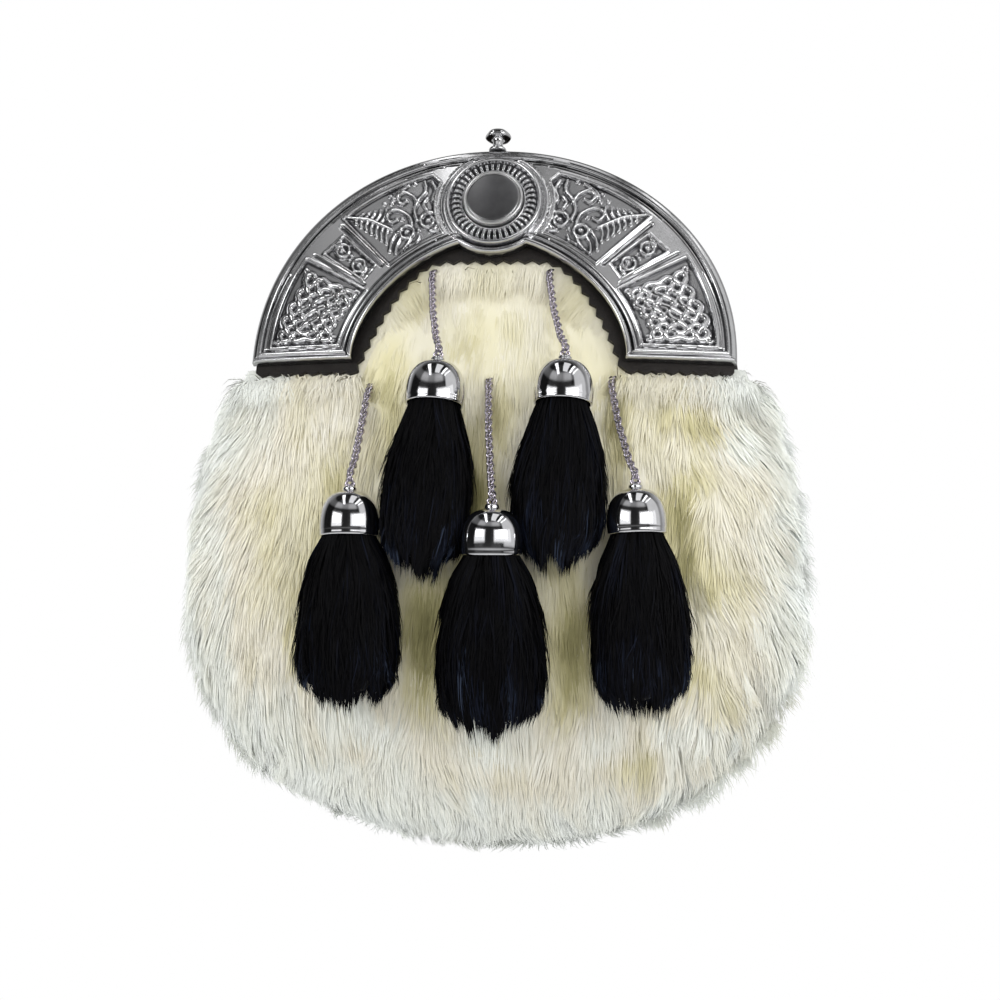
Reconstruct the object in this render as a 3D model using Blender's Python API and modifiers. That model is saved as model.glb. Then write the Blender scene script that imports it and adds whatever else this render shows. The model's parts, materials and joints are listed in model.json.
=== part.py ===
"""Sporran pouch: a hollow leather bag with a deep fur front, an arched metal
cantle on a pinked leather backing, and five fur tassels that hang on chains
from domed bells.

Blender 4.5, metres, +Z up, front towards -Y, +X to the viewer's right.
The origin is the middle of the waist strap that the two loops on the back hold.

Lengths below are in millimetres and are turned into metres as points are made.
"Bag frame": x to the right, y back, z up, with its zero on the leaning plate's
face, level with its feet and midway between them.
"Plate frame": u to the right, v up the leaning plate, w out of its face.
"""

import math

import bmesh
import bpy
from mathutils import Matrix, Vector

MM = 0.001
GAP = 0.4                      # clearance kept between pieces that touch

# where the bag frame's zero lies, seen from the waist strap
STRAP_Y = 42.0
STRAP_Z = 24.0

# cantle
HALF_WIDTH = 76.0
ARCH_HEIGHT = 70.5
ARCH_POWER = 2.08              # 2 would be a plain ellipse
INNER_HALF_WIDTH = 42.5
INNER_HEIGHT = 39.5
INNER_POWER = 1.75
BOSS_V = 51.9                  # height of the boss's centre up the plate
LOBE_R = 17.9                  # the lobe of plate that carries the boss's ring
LEAN = math.radians(18.0)      # the plate leans back
BOW = 15.5                     # how far the feet are swept back
PLATE_BACK = -2.2
INNER_RIM = 3.6
OUTER_RIM = 2.6
FOOT_RIM = 2.0
FOOT_V = -1.0                  # the feet end just below the base line

# ring and boss
RING_R = 15.1
RING_HOLE_R = 9.9
RING_TOP = 3.0
BOSS_R = 9.5
BOSS_TOP = 5.4

# leather backing
LEATHER = 1.5
BACKING_FACE = PLATE_BACK - 0.5
BACKING_BACK = BACKING_FACE - LEATHER
TOOTH_PITCH = 4.5
TOOTH_DEPTH = 1.3

# bag
WALL = 2.0
BACK_Y = 38.0
PANEL_FACE = (0.7 - BACKING_BACK) / math.cos(LEAN)
BAG_ARCH_HALF = 74.5
BAG_ARCH_TOP = 62.5
BAG_HALF = 85.0
BAG_WIDEST_Z = -58.0
BAG_BOTTOM = -139.5
BAG_POWER = 2.3

# fur
FUR_HALF = 95.5
FUR_SHOULDER_HALF = 82.5
FUR_SHOULDER_Z = -6.4
FUR_WIDEST_Z = -65.0
FUR_BOTTOM = -147.5
FUR_POWER = 2.2
FUR_BACK_Y = 31.0
PILLOW_CENTRE_Z = -50.0        # the rings of both pillow shapes shrink to here

# chains, bells and tassels
CHAIN_R = 1.4
HOLE_R = 2.1
BELL_R = 9.0
BELL_H = 14.0

# belt loops
LOOP_X = 38.0
LOOP_WIDTH = 16.0
LOOP_HEIGHT = 43.0
LOOP_STRAP = 1.8
LOOP_TUNNEL_H = 26.0
LOOP_TUNNEL_D = 7.2

# Side profile of the bag's front panel: height and how far back it lies there.
PANEL_PROFILE = (
    # z      y
    (68.0, 68.0 * math.tan(LEAN) + PANEL_FACE),
    (34.0, 34.0 * math.tan(LEAN) + PANEL_FACE),
    (0.0, PANEL_FACE),
    (-20.0, -1.2),
    (-40.0, -5.8),
    (-60.0, -8.6),
    (-80.0, -9.6),
    (-100.0, -8.2),
    (-120.0, -3.0),
    (-135.0, 5.5),
    (-150.0, 17.0),
)
# How far the panel is swept back at 76 mm from the middle, by height.
SWEEP_PROFILE = (
    # z      sweep
    (68.0, BOW),
    (0.0, BOW),
    (-60.0, 16.0),
    (-100.0, 17.0),
    (-150.0, 19.0),
)
# Thickness of the fur over the panel, by height.
FUR_PROFILE = (
    # z      thickness
    (30.0, 4.4),
    (10.0, 6.5),
    (0.0, 8.0),
    (-20.0, 10.0),
    (-60.0, 10.5),
    (-100.0, 11.0),
    (-150.0, 11.0),
)
# Right half of the leather's pinked line inside the arch, in the plate frame.
PINKED_LINE = (
    # u     v
    (41.4, -3.4),
    (39.4, 2.0),
    (34.4, 13.6),
    (27.0, 25.4),
    (19.4, 32.2),
    (9.5, 33.2),
    (0.0, 33.0),
)
# Right half of the fur's tongue inside that line, in the bag frame.
TONGUE_LINE = (
    # x     z
    (39.4, -6.4),
    (37.4, 1.0),
    (32.2, 12.0),
    (24.8, 22.6),
    (17.0, 28.4),
    (8.0, 29.0),
    (0.0, 28.8),
)
# Fur pillow from its middle to its back edge: share of the outline's reach,
# and share of the way from the front surface to the back edge.
FUR_RINGS = (
    # reach  depth
    (0.30, 0.0),
    (0.55, 0.0),
    (0.74, 0.02),
    (0.87, 0.10),
    (0.95, 0.28),
    (0.99, 0.52),
    (1.00, 0.78),
    (0.985, 1.0),
)
# Bag panel from its middle to its edge, and how far the edge turns back.
BAG_RINGS = (
    # reach  turn
    (0.30, 0.0),
    (0.55, 0.0),
    (0.76, 0.0),
    (0.90, 0.3),
    (0.97, 1.2),
    (1.00, 3.4),
)
# Tassels on their bells: place of the bell's top, tilt to the front and to the
# side in degrees, fur length below the bell and greatest half-width.
TASSELS = (
    # name          x      y      z     tilt  side  length  half
    ("upper_left", -12.0, -19.0, -4.2, -10.0, 2.4, 52.0, 12.9),
    ("upper_right", 26.0, -18.0, -3.8, -10.0, 0.8, 50.0, 13.2),
    ("lower_left", -36.7, -26.4, -43.6, -2.4, -0.5, 51.0, 16.0),
    ("centre", 7.0, -36.0, -49.2, 3.0, 0.0, 53.0, 16.6),
    ("lower_right", 47.8, -23.4, -42.4, -2.4, -2.5, 53.0, 15.2),
)
# Where each chain comes out of the fur.
CHAIN_EXITS = (
    # name          x      z
    ("upper_left", -18.2, 25.0),
    ("upper_right", 19.4, 24.4),
    ("lower_left", -33.6, -10.0),
    ("centre", 3.0, -9.5),
    ("lower_right", 39.4, -10.5),
)
# Turned outline of a bell, down the outside and back up inside the cup.
BELL_OUTLINE = (
    # r     z
    (0.0, 1.2),
    (1.7, 1.0),
    (2.1, 0.2),
    (2.3, -0.5),
    (4.8, -1.2),
    (7.0, -3.1),
    (8.3, -5.8),
    (8.9, -9.0),
    (9.0, -11.6),
    (8.7, -13.6),
    (8.2, -14.0),
    (7.7, -13.6),
    (7.7, -9.6),
    (0.0, -9.2),
)
# Outline of a tassel: share of its length, and share of its half-width on the
# two upper tassels, which taper, and on the three lower ones.
TASSEL_OUTLINE = (
    # down   upper  lower
    (0.04, 0.58, 0.56),
    (0.14, 0.74, 0.74),
    (0.30, 0.92, 0.92),
    (0.50, 1.00, 1.00),
    (0.70, 0.97, 1.00),
    (0.84, 0.80, 0.93),
    (0.94, 0.52, 0.72),
    (1.00, 0.20, 0.34),
)
TASSEL_DEPTH = 0.66            # a tassel's depth over its width
KNOB_OUTLINE = (
    # r     z
    (0.0, 7.4),
    (1.9, 7.2),
    (3.4, 6.4),
    (4.1, 5.2),
    (4.1, 4.5),
    (3.5, 4.0),
    (2.3, 3.7),
    (1.9, 2.4),
    (2.2, 1.3),
    (3.4, 0.9),
    (3.5, 0.0),
    (0.0, 0.0),
)


# ---------------------------------------------------------------- helpers

def world(x, y, z):
    """A point of the bag frame, in metres from the waist strap."""
    return Vector((x, y - STRAP_Y, z - STRAP_Z)) * MM


def plate(u, v, w):
    """A point of the plate frame, leant back and bowed, in the bag frame."""
    return (
        u,
        v * math.sin(LEAN) - w * math.cos(LEAN) + BOW * (u / HALF_WIDTH) ** 2,
        v * math.cos(LEAN) + w * math.sin(LEAN),
    )


def along(table, at):
    """Smooth value of a two-column table whose first column falls."""
    rows = sorted(table)
    if at <= rows[0][0]:
        return rows[0][1]
    if at >= rows[-1][0]:
        return rows[-1][1]
    i = max(k for k in range(len(rows) - 1) if rows[k][0] <= at)
    (x0, y0), (x1, y1) = rows[i], rows[i + 1]

    def slope(k):
        if k == 0 or k == len(rows) - 1:
            j = min(max(k, 1), len(rows) - 1)
            return (rows[j][1] - rows[j - 1][1]) / (rows[j][0] - rows[j - 1][0])
        return (rows[k + 1][1] - rows[k - 1][1]) / (rows[k + 1][0] - rows[k - 1][0])

    d = x1 - x0
    t = (at - x0) / d
    m0, m1 = slope(i) * d, slope(i + 1) * d
    return (
        (2 * t**3 - 3 * t**2 + 1) * y0
        + (t**3 - 2 * t**2 + t) * m0
        + (3 * t**2 - 2 * t**3) * y1
        + (t**3 - t**2) * m1
    )


def smooth_line(points, step):
    """A curve through points, walked in equal steps of about the given length."""
    pts = [Vector(p) for p in points]
    fine = []
    for i in range(len(pts) - 1):
        a, b = pts[i], pts[i + 1]
        before = pts[i - 1] if i else a * 2 - b
        after = pts[i + 2] if i + 2 < len(pts) else b * 2 - a
        for k in range(24):
            t = k / 24
            fine.append(
                0.5
                * (
                    2 * a
                    + (b - before) * t
                    + (2 * before - 5 * a + 4 * b - after) * t * t
                    + (3 * a - before - 3 * b + after) * t**3
                )
            )
    fine.append(pts[-1])
    reach = [0.0]
    for a, b in zip(fine, fine[1:]):
        reach.append(reach[-1] + (b - a).length)
    count = max(2, round(reach[-1] / step))
    out = []
    k = 0
    for i in range(count + 1):
        want = reach[-1] * i / count
        while k < len(fine) - 2 and reach[k + 1] < want:
            k += 1
        share = (want - reach[k]) / max(reach[k + 1] - reach[k], 1e-9)
        out.append(fine[k].lerp(fine[k + 1], min(max(share, 0.0), 1.0)))
    return out


def superellipse(a, b, power, angle):
    """Reach of a superellipse from its centre in one direction."""
    c, s = abs(math.cos(angle)) / a, abs(math.sin(angle)) / b
    return (c**power + s**power) ** (-1.0 / power)


def panel_y(x, z):
    """How far back the bag's front panel lies."""
    return along(PANEL_PROFILE, z) + along(SWEEP_PROFILE, z) * (x / 76.0) ** 2


def fur_y(x, z):
    """How far back the fur's front surface lies, away from its edges."""
    return panel_y(x, z) - along(FUR_PROFILE, z)


def new_collection(name):
    made = bpy.data.collections.new(name)
    bpy.context.scene.collection.children.link(made)
    return made


def material(name, colour, roughness, metallic=0.0):
    made = bpy.data.materials.new(name)
    made.use_nodes = True
    shader = made.node_tree.nodes["Principled BSDF"]
    shader.inputs["Base Color"].default_value = (*colour, 1.0)
    shader.inputs["Roughness"].default_value = roughness
    shader.inputs["Metallic"].default_value = metallic
    made.diffuse_color = (*colour, 1.0)
    return made


def mesh_object(name, verts, faces, coll, mat=None, smooth=40.0):
    mesh = bpy.data.meshes.new(name)
    mesh.from_pydata([tuple(v) for v in verts], [], faces)
    mesh.validate()
    obj = bpy.data.objects.new(name, mesh)
    coll.objects.link(obj)
    finish(obj, mat, smooth)
    return obj


def finish(obj, mat, smooth=40.0):
    mesh = obj.data
    bm = bmesh.new()
    bm.from_mesh(mesh)
    bmesh.ops.recalc_face_normals(bm, faces=bm.faces)
    bm.to_mesh(mesh)
    bm.free()
    if smooth:
        mesh.shade_smooth()
        mesh.set_sharp_from_angle(angle=math.radians(smooth))
    if mat:
        mesh.materials.clear()
        mesh.materials.append(mat)


def turned(name, outline, coll, mat, steps):
    """A turned solid from an outline of radius and height, top to bottom."""
    bm = bmesh.new()
    verts = [bm.verts.new((r * MM, 0.0, z * MM)) for r, z in outline]
    for a, b in zip(verts, verts[1:]):
        bm.edges.new((a, b))
    mesh = bpy.data.meshes.new(name)
    bm.to_mesh(mesh)
    bm.free()
    obj = bpy.data.objects.new(name, mesh)
    coll.objects.link(obj)
    mesh.materials.append(mat)
    screw = obj.modifiers.new("turn", "SCREW")
    screw.steps = steps
    screw.render_steps = steps
    screw.use_merge_vertices = True
    screw.merge_threshold = 0.00001
    screw.use_smooth_shade = True
    return obj


def realised(obj, coll, name=None):
    """The object as a plain mesh in its place, with the first one removed."""
    deps = bpy.context.evaluated_depsgraph_get()
    deps.update()
    bpy.context.view_layer.update()
    mesh = bpy.data.meshes.new_from_object(obj.evaluated_get(deps))
    bm = bmesh.new()
    bm.from_mesh(mesh)
    bmesh.ops.remove_doubles(bm, verts=bm.verts, dist=0.000005)
    bmesh.ops.recalc_face_normals(bm, faces=bm.faces)
    bm.to_mesh(mesh)
    bm.free()
    title = name or obj.name
    place = obj.matrix_world.copy()
    bpy.data.objects.remove(obj)
    mesh.name = title
    made = bpy.data.objects.new(title, mesh)
    made.matrix_world = place
    coll.objects.link(made)
    return made


def tube(name, points, radius, coll, mat, resolution=2):
    curve = bpy.data.curves.new(name, "CURVE")
    curve.dimensions = "3D"
    curve.bevel_depth = radius * MM
    curve.bevel_resolution = resolution
    curve.use_fill_caps = True
    spline = curve.splines.new("POLY")
    spline.points.add(len(points) - 1)
    for point, at in zip(spline.points, points):
        point.co = (*world(*at), 1.0)
    obj = bpy.data.objects.new(name, curve)
    coll.objects.link(obj)
    if mat:
        curve.materials.append(mat)
    return obj


def boolean(obj, other, operation, own=False):
    mod = obj.modifiers.new(operation.lower(), "BOOLEAN")
    mod.operation = operation
    mod.solver = "EXACT"
    mod.use_self = own
    mod.object = other
    return mod


def hide_cutter(obj):
    obj.hide_render = True
    obj.display_type = "WIRE"


# ---------------------------------------------------------------- outlines

def outer_reach(angle):
    return superellipse(HALF_WIDTH, ARCH_HEIGHT, ARCH_POWER, angle)


def inner_reach(angle):
    reach = superellipse(INNER_HALF_WIDTH, INNER_HEIGHT, INNER_POWER, angle)
    aside = BOSS_V * math.cos(angle)
    if abs(aside) < LOBE_R:
        reach = min(reach, BOSS_V * math.sin(angle) - math.sqrt(LOBE_R**2 - aside**2))
    return reach


def bag_outline(grow=0.0):
    """The bag from the front, round from the right end of its mouth over the
    arch, down the left side, round the bottom and up: x, z and whether the
    point is on the mouth's arch."""
    pts = []
    arch = 26
    for i in range(arch + 1):
        angle = math.pi * i / arch
        r = superellipse(BAG_ARCH_HALF + grow, BAG_ARCH_TOP + grow, ARCH_POWER, angle)
        pts.append((r * math.cos(angle), r * math.sin(angle), True))
    lower = []
    for z in (-14.0, -30.0, -46.0):
        x = BAG_ARCH_HALF + (BAG_HALF - BAG_ARCH_HALF) * math.sin(
            math.pi / 2 * z / BAG_WIDEST_Z
        )
        lower.append((x + grow, z))
    turn = 11
    for i in range(turn + 1):
        angle = math.pi / 2 * i / turn
        r = superellipse(
            BAG_HALF + grow, BAG_WIDEST_Z - BAG_BOTTOM + grow, BAG_POWER, angle
        )
        lower.append((r * math.cos(angle), BAG_WIDEST_Z - r * math.sin(angle)))
    for x, z in lower:
        pts.append((-x, z, False))
    for x, z in lower[-2::-1]:
        pts.append((x, z, False))
    return pts


def fur_outline():
    """The fur from the front, the same way round: x, z and whether it lies over
    the bag's panel there, and not beyond the bag's side."""
    top = [(p.x, p.y) for p in smooth_line(TONGUE_LINE, 6.0)]
    pts = [(x, z, True) for x, z in top]
    pts += [(-x, z, True) for x, z in top[-2::-1]]
    shoulder = [(x, FUR_SHOULDER_Z, x < 72.0) for x in (49.0, 61.0, 71.0, 79.0)]
    pts += [(-x, z, over) for x, z, over in shoulder]
    lower = []
    for z in (FUR_SHOULDER_Z, -14.0, -28.0, -42.0, -55.0):
        x = FUR_SHOULDER_HALF + (FUR_HALF - FUR_SHOULDER_HALF) * math.sin(
            math.pi / 2 * (z - FUR_SHOULDER_Z) / (FUR_WIDEST_Z - FUR_SHOULDER_Z)
        )
        lower.append((x, z))
    turn = 12
    for i in range(turn + 1):
        angle = math.pi / 2 * i / turn
        r = superellipse(FUR_HALF, FUR_WIDEST_Z - FUR_BOTTOM, FUR_POWER, angle)
        lower.append((r * math.cos(angle), FUR_WIDEST_Z - r * math.sin(angle)))
    pts += [(-x, z, False) for x, z in lower]
    pts += [(x, z, False) for x, z in lower[-2::-1]]
    pts += [(x, z, over) for x, z, over in shoulder[::-1]]
    return pts


def shrink(x, z, share):
    return x * share, PILLOW_CENTRE_Z + (z - PILLOW_CENTRE_Z) * share


# ---------------------------------------------------------------- pieces

def make_bag(coll, cutters, mat):
    """The open skin of the bag, thickened inwards, and a fatter closed copy of
    it that the fur is hollowed with."""

    def skin(grow, forward):
        outline = bag_outline(grow)
        count = len(outline)
        verts = [world(0.0, panel_y(0.0, PILLOW_CENTRE_Z) - forward, PILLOW_CENTRE_Z)]
        for share, turn in BAG_RINGS:
            for x, z, arch in outline:
                px, pz = shrink(x, z, share)
                drop = 0.0 if arch else turn
                verts.append(world(px, panel_y(px, pz) + drop - forward, pz))
        faces = [(0, 1 + i, 1 + (i + 1) % count) for i in range(count)]
        for k in range(len(BAG_RINGS) - 1):
            for i in range(count):
                a, b = 1 + k * count + i, 1 + k * count + (i + 1) % count
                faces.append((a, a + count, b + count, b))
        edge = 1 + (len(BAG_RINGS) - 1) * count
        return outline, count, verts, faces, edge

    # the bag itself
    outline, count, verts, faces, edge = skin(0.0, 0.0)
    crease = len(verts)
    for x, z, arch in outline:
        cx, cz = shrink(x, z, 0.985)
        front = panel_y(x, z) + 3.4
        verts.append(world(cx, (front + BACK_Y) / 2, cz))
    rim = len(verts)
    for x, z, arch in outline:
        verts.append(world(x, BACK_Y, z))
    inner = len(verts)
    for x, z, arch in outline:
        verts.append(world(*shrink(x, z, 0.95)[:1], BACK_Y, shrink(x, z, 0.95)[1]))
    middle = len(verts)
    verts.append(world(0.0, BACK_Y, PILLOW_CENTRE_Z))
    for i in range(count):
        j = (i + 1) % count
        if not (outline[i][2] and outline[j][2]):
            faces.append((edge + i, crease + i, crease + j, edge + j))
            faces.append((crease + i, rim + i, rim + j, crease + j))
        faces.append((rim + i, inner + i, inner + j, rim + j))
        faces.append((inner + i, middle, inner + j))
    used = sorted({v for face in faces for v in face})
    new = {old: k for k, old in enumerate(used)}
    bag = mesh_object(
        "pouch",
        [verts[v] for v in used],
        [tuple(new[v] for v in face) for face in faces],
        coll,
        mat,
    )
    # the skin is open, so its normals are set from a face that is known
    mesh = bag.data
    back = max(mesh.polygons, key=lambda f: f.center.y)
    if back.normal.y < 0:
        mesh.flip_normals()
    solid = bag.modifiers.new("wall", "SOLIDIFY")
    solid.thickness = WALL * MM
    solid.offset = -1.0
    solid.use_even_offset = True
    solid.use_rim = True

    # the fatter copy
    outline, count, verts, faces, edge = skin(GAP, GAP)
    far = len(verts)
    for x, z, arch in outline:
        verts.append(world(x, BACK_Y + 30.0, z))
    faces += [
        (edge + i, far + i, far + (i + 1) % count, edge + (i + 1) % count)
        for i in range(count)
    ]
    faces.append(tuple(far + i for i in range(count - 1, -1, -1)))
    cutter = mesh_object("cut_bag", verts, faces, cutters, None)
    hide_cutter(cutter)
    return bag, cutter


def make_fur(coll, mat):
    outline = fur_outline()
    count = len(outline)
    verts = [world(0.0, fur_y(0.0, PILLOW_CENTRE_Z), PILLOW_CENTRE_Z)]
    for share, depth in FUR_RINGS:
        for x, z, over in outline:
            px, pz = shrink(x, z, share)
            front = fur_y(px, pz)
            back = panel_y(px, pz) + 4.0 if over else FUR_BACK_Y
            verts.append(world(px, front + (back - front) * depth, pz))
    faces = [(0, 1 + i, 1 + (i + 1) % count) for i in range(count)]
    for k in range(len(FUR_RINGS) - 1):
        for i in range(count):
            a, b = 1 + k * count + i, 1 + k * count + (i + 1) % count
            faces.append((a, a + count, b + count, b))
    edge = 1 + (len(FUR_RINGS) - 1) * count
    middle = len(verts)
    verts.append(world(0.0, FUR_BACK_Y, PILLOW_CENTRE_Z))
    faces += [(edge + i, middle, edge + (i + 1) % count) for i in range(count)]
    return mesh_object("fur_front", verts, faces, coll, mat, 60.0)


def cantle_stations():
    """Pairs of points, on the arch's inner and outer edge, from the right foot
    over the top to the left one. The first ones run level with the foot."""
    pairs = []
    for v in (FOOT_V, FOOT_V + 0.4, FOOT_V + FOOT_RIM, FOOT_V + FOOT_RIM + 0.6):
        up = max(v, 0.0)
        inner = INNER_HALF_WIDTH * (1 - (up / INNER_HEIGHT) ** INNER_POWER) ** (
            1 / INNER_POWER
        )
        outer = HALF_WIDTH * (1 - (up / ARCH_HEIGHT) ** ARCH_POWER) ** (1 / ARCH_POWER)
        pairs.append(((inner, v), (outer, v)))
    corner = math.acos(0.0)
    for k in range(4000):
        angle = math.radians(45 + 45 * k / 4000)
        full = superellipse(INNER_HALF_WIDTH, INNER_HEIGHT, INNER_POWER, angle)
        if inner_reach(angle) < full - 1e-6:
            corner = angle
            break
    first = math.radians(7.0)
    angles = [first + (corner - first) * i / 13 for i in range(14)]
    angles += [corner + (math.pi / 2 - corner) * i / 5 for i in range(1, 6)]
    for angle in angles:
        a, b = inner_reach(angle), outer_reach(angle)
        c, s = math.cos(angle), math.sin(angle)
        pairs.append(((a * c, a * s), (b * c, b * s)))
    mirrored = [((-a[0], a[1]), (-b[0], b[1])) for a, b in pairs[-2::-1]]
    return pairs + mirrored


def make_cantle(coll, cutters, mat):
    pairs = cantle_stations()
    count = len(pairs)
    verts = []
    width = 0
    for i, (inner, outer) in enumerate(pairs):
        reach = math.dist(inner, outer)
        near_foot = min(i, count - 1 - i)
        foot = near_foot < 3
        section = [
            # distance from the inner edge, height
            (0.0, PLATE_BACK),
            (0.0, 0.3),
            (0.5, 1.6),
            (INNER_RIM - 0.6, 1.6),
            (INNER_RIM, 1.6 if foot else 0.7),
            (reach / 2, 1.6 if foot else 1.0),
            (reach - OUTER_RIM - 1.6, 1.6 if foot else 0.5),
            (reach - OUTER_RIM, 1.2),
            (reach - 0.6, 0.9),
            (reach, 0.1),
            (reach, PLATE_BACK),
            (reach * 0.67, PLATE_BACK),
            (reach * 0.33, PLATE_BACK),
        ]
        if near_foot == 0:
            section = [(d, min(w, 0.6)) for d, w in section]
        width = len(section)
        for d, w in section:
            share = d / reach
            u = inner[0] + (outer[0] - inner[0]) * share
            v = inner[1] + (outer[1] - inner[1]) * share
            verts.append(world(*plate(u, v, w)))
    faces = []
    for i in range(count - 1):
        for k in range(width):
            a, b = i * width + k, i * width + (k + 1) % width
            faces.append((a, b, b + width, a + width))
    faces.append(tuple(range(width)))
    faces.append(tuple((count - 1) * width + k for k in range(width - 1, -1, -1)))
    cantle = mesh_object("cantle", verts, faces, coll, mat, 30.0)

    # the ring that the boss sits in
    ring = turned(
        "ring",
        (
            (RING_HOLE_R, RING_TOP),
            (RING_R - 1.0, RING_TOP),
            (RING_R, RING_TOP - 0.8),
            (RING_R, -1.0),
            (RING_HOLE_R, -1.0),
            (RING_HOLE_R, RING_TOP),
        ),
        cutters,
        mat,
        40,
    )
    place_on_plate(ring, 0.0, BOSS_V)
    ring = realised(ring, cutters)
    hide_cutter(ring)
    boolean(cantle, ring, "UNION")
    return cantle


def place_on_plate(obj, u, v, w=0.0):
    """Stands a turned object on the plate, its axis out of the plate's face."""
    obj.matrix_world = Matrix.Translation(world(*plate(u, v, w))) @ Matrix.Rotation(
        math.pi / 2 - LEAN, 4, "X"
    )


def make_boss(coll, mat):
    seat = 1.35
    outline = [
        (0.0, BOSS_TOP),
        (2.6, BOSS_TOP - 0.12),
        (5.0, BOSS_TOP - 0.5),
        (7.2, BOSS_TOP - 1.2),
        (8.6, BOSS_TOP - 1.9),
        (9.3, BOSS_TOP - 2.0),
        (BOSS_R, BOSS_TOP - 2.4),
        (BOSS_R, seat),
        (0.0, seat),
    ]
    boss = turned("centre_boss", outline, coll, mat, 32)
    place_on_plate(boss, 0.0, BOSS_V)
    return boss


def make_knob(coll, mat):
    knob = turned("knob", KNOB_OUTLINE, coll, mat, 20)
    foot = world(*plate(0.0, ARCH_HEIGHT + 0.35, -0.9))
    knob.matrix_world = Matrix.Translation(foot) @ Matrix.Rotation(-LEAN, 4, "X")
    return knob


def pinked(points, side, first=0):
    """Zigzag round a line: every other point stands out to one side."""
    out = []
    for i, p in enumerate(points):
        a, b = points[max(i - 1, 0)], points[min(i + 1, len(points) - 1)]
        run = (b - a).normalized()
        normal = Vector((run.y, -run.x)) * side
        out.append(p + normal * TOOTH_DEPTH * (0.5 if (i + first) % 2 else -0.5))
    return out


def make_backing(coll, mat):
    """The pinked leather arch, as a strip from its zigzag inner line to its
    outer edge, thickened towards the bag, with a zigzag edge under each foot."""
    right = [Vector(p) for p in PINKED_LINE]
    line = right + [Vector((-p.x, p.y)) for p in right[-2::-1]]
    inner = pinked(smooth_line(line, TOOTH_PITCH / 2), -1)
    last = len(inner) - 1
    low = inner[0].y
    columns = (0.5, 1.0)
    rows = []
    for i, p in enumerate(inner):
        # the outer edge drops to the foot's line at both ends
        share = abs(2 * i / last - 1)
        angle = math.pi / 2 * (1 - share)
        r = superellipse(HALF_WIDTH - 0.8, ARCH_HEIGHT - 0.8, ARCH_POWER, angle)
        outer = Vector((r * math.cos(angle), r * math.sin(angle)))
        outer.x = math.copysign(outer.x, last / 2 - i)
        if i in (0, last):
            outer.y = low
        rows.append([p] + [p.lerp(outer, c) for c in columns])
    width = len(rows[0])
    verts = [p for row in rows for p in row]
    faces = []
    for i in range(last):
        for k in range(width - 1):
            a = i * width + k
            faces.append((a, a + 1, a + 1 + width, a + width))
    teeth = round((HALF_WIDTH - 41.0) / TOOTH_PITCH)
    for end in (0, last):
        row = rows[end]
        for k in range(width - 1):
            a, b = row[k], row[k + 1]
            count = teeth  # points between two columns: a tooth takes two
            start = len(verts)
            for n in range(1, count):
                p = a.lerp(b, n / count)
                p.y -= TOOTH_DEPTH if n % 2 else 0.1
                verts.append(p)
            face = [end * width + k] + list(range(start, start + count - 1))
            face.append(end * width + k + 1)
            faces.append(tuple(face))
    place = [world(*plate(p.x, p.y, BACKING_FACE)) for p in verts]
    backing = mesh_object("cantle_backing", place, faces, coll, mat, 40.0)
    mesh = backing.data
    front = sum((f.normal.y * f.area for f in mesh.polygons))
    if front > 0:
        mesh.flip_normals()
    solid = backing.modifiers.new("thickness", "SOLIDIFY")
    solid.thickness = LEATHER * MM
    solid.offset = -1.0
    solid.use_even_offset = False
    return backing


def chain_route(name):
    """Out of the fur's hole, down over the fur and to the top of the bell."""
    _, x, z = next(row for row in CHAIN_EXITS if row[0] == name)
    _, bx, by, bz, tilt, side, _, _ = next(row for row in TASSELS if row[0] == name)
    root = panel_y(x, z) - GAP - CHAIN_R - 0.5
    surface = fur_y(x, z - 6.0) - CHAIN_R - 0.8
    eye = 1.2 + 0.7
    t, s = math.radians(tilt), math.radians(side)
    up = Matrix.Rotation(s, 3, "Y") @ Matrix.Rotation(t, 3, "X") @ Vector((0, 0, 1))
    top = Vector((bx, by, bz)) + up * eye
    points = [
        Vector((x, root, z)),
        Vector((x, (root + surface) / 2, z - 2.4)),
        Vector((x + (top.x - x) * 0.10, surface, z - 6.0)),
    ]
    for share in (0.35, 0.55, 0.75):
        px = x + (top.x - x) * share
        pz = (z - 6.0) + (top.z - z + 6.0) * share
        lying = fur_y(px, pz) - CHAIN_R - 0.9
        taut = surface + (top.y - surface) * share
        points.append(Vector((px, min(lying, taut), pz)))
    points.append(top + up * 2.5)
    points.append(top)
    return [tuple(p) for p in smooth_line(points, 4.0)]


def make_tassel(name, length, half, coll, mat):
    """A turned drop of fur that starts as a neck inside the bell and is
    flattened front to back below it."""
    outline = [(0.0, -9.7), (6.9, -9.9), (7.1, -13.9)]
    column = 1 if "upper" in name else 2
    outline += [(half * row[column], -14.3 - length * row[0]) for row in TASSEL_OUTLINE]
    outline += [(0.0, -14.3 - length - 1.2)]
    tassel = turned(name, outline, coll, mat, 16)
    tassel = realised(tassel, coll, name)
    for vert in tassel.data.vertices:
        down = min(max((-vert.co.z / MM - 14.0) / 12.0, 0.0), 1.0)
        vert.co.y *= 1.0 + (TASSEL_DEPTH - 1.0) * down
    finish(tassel, mat, 60.0)
    return tassel


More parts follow.
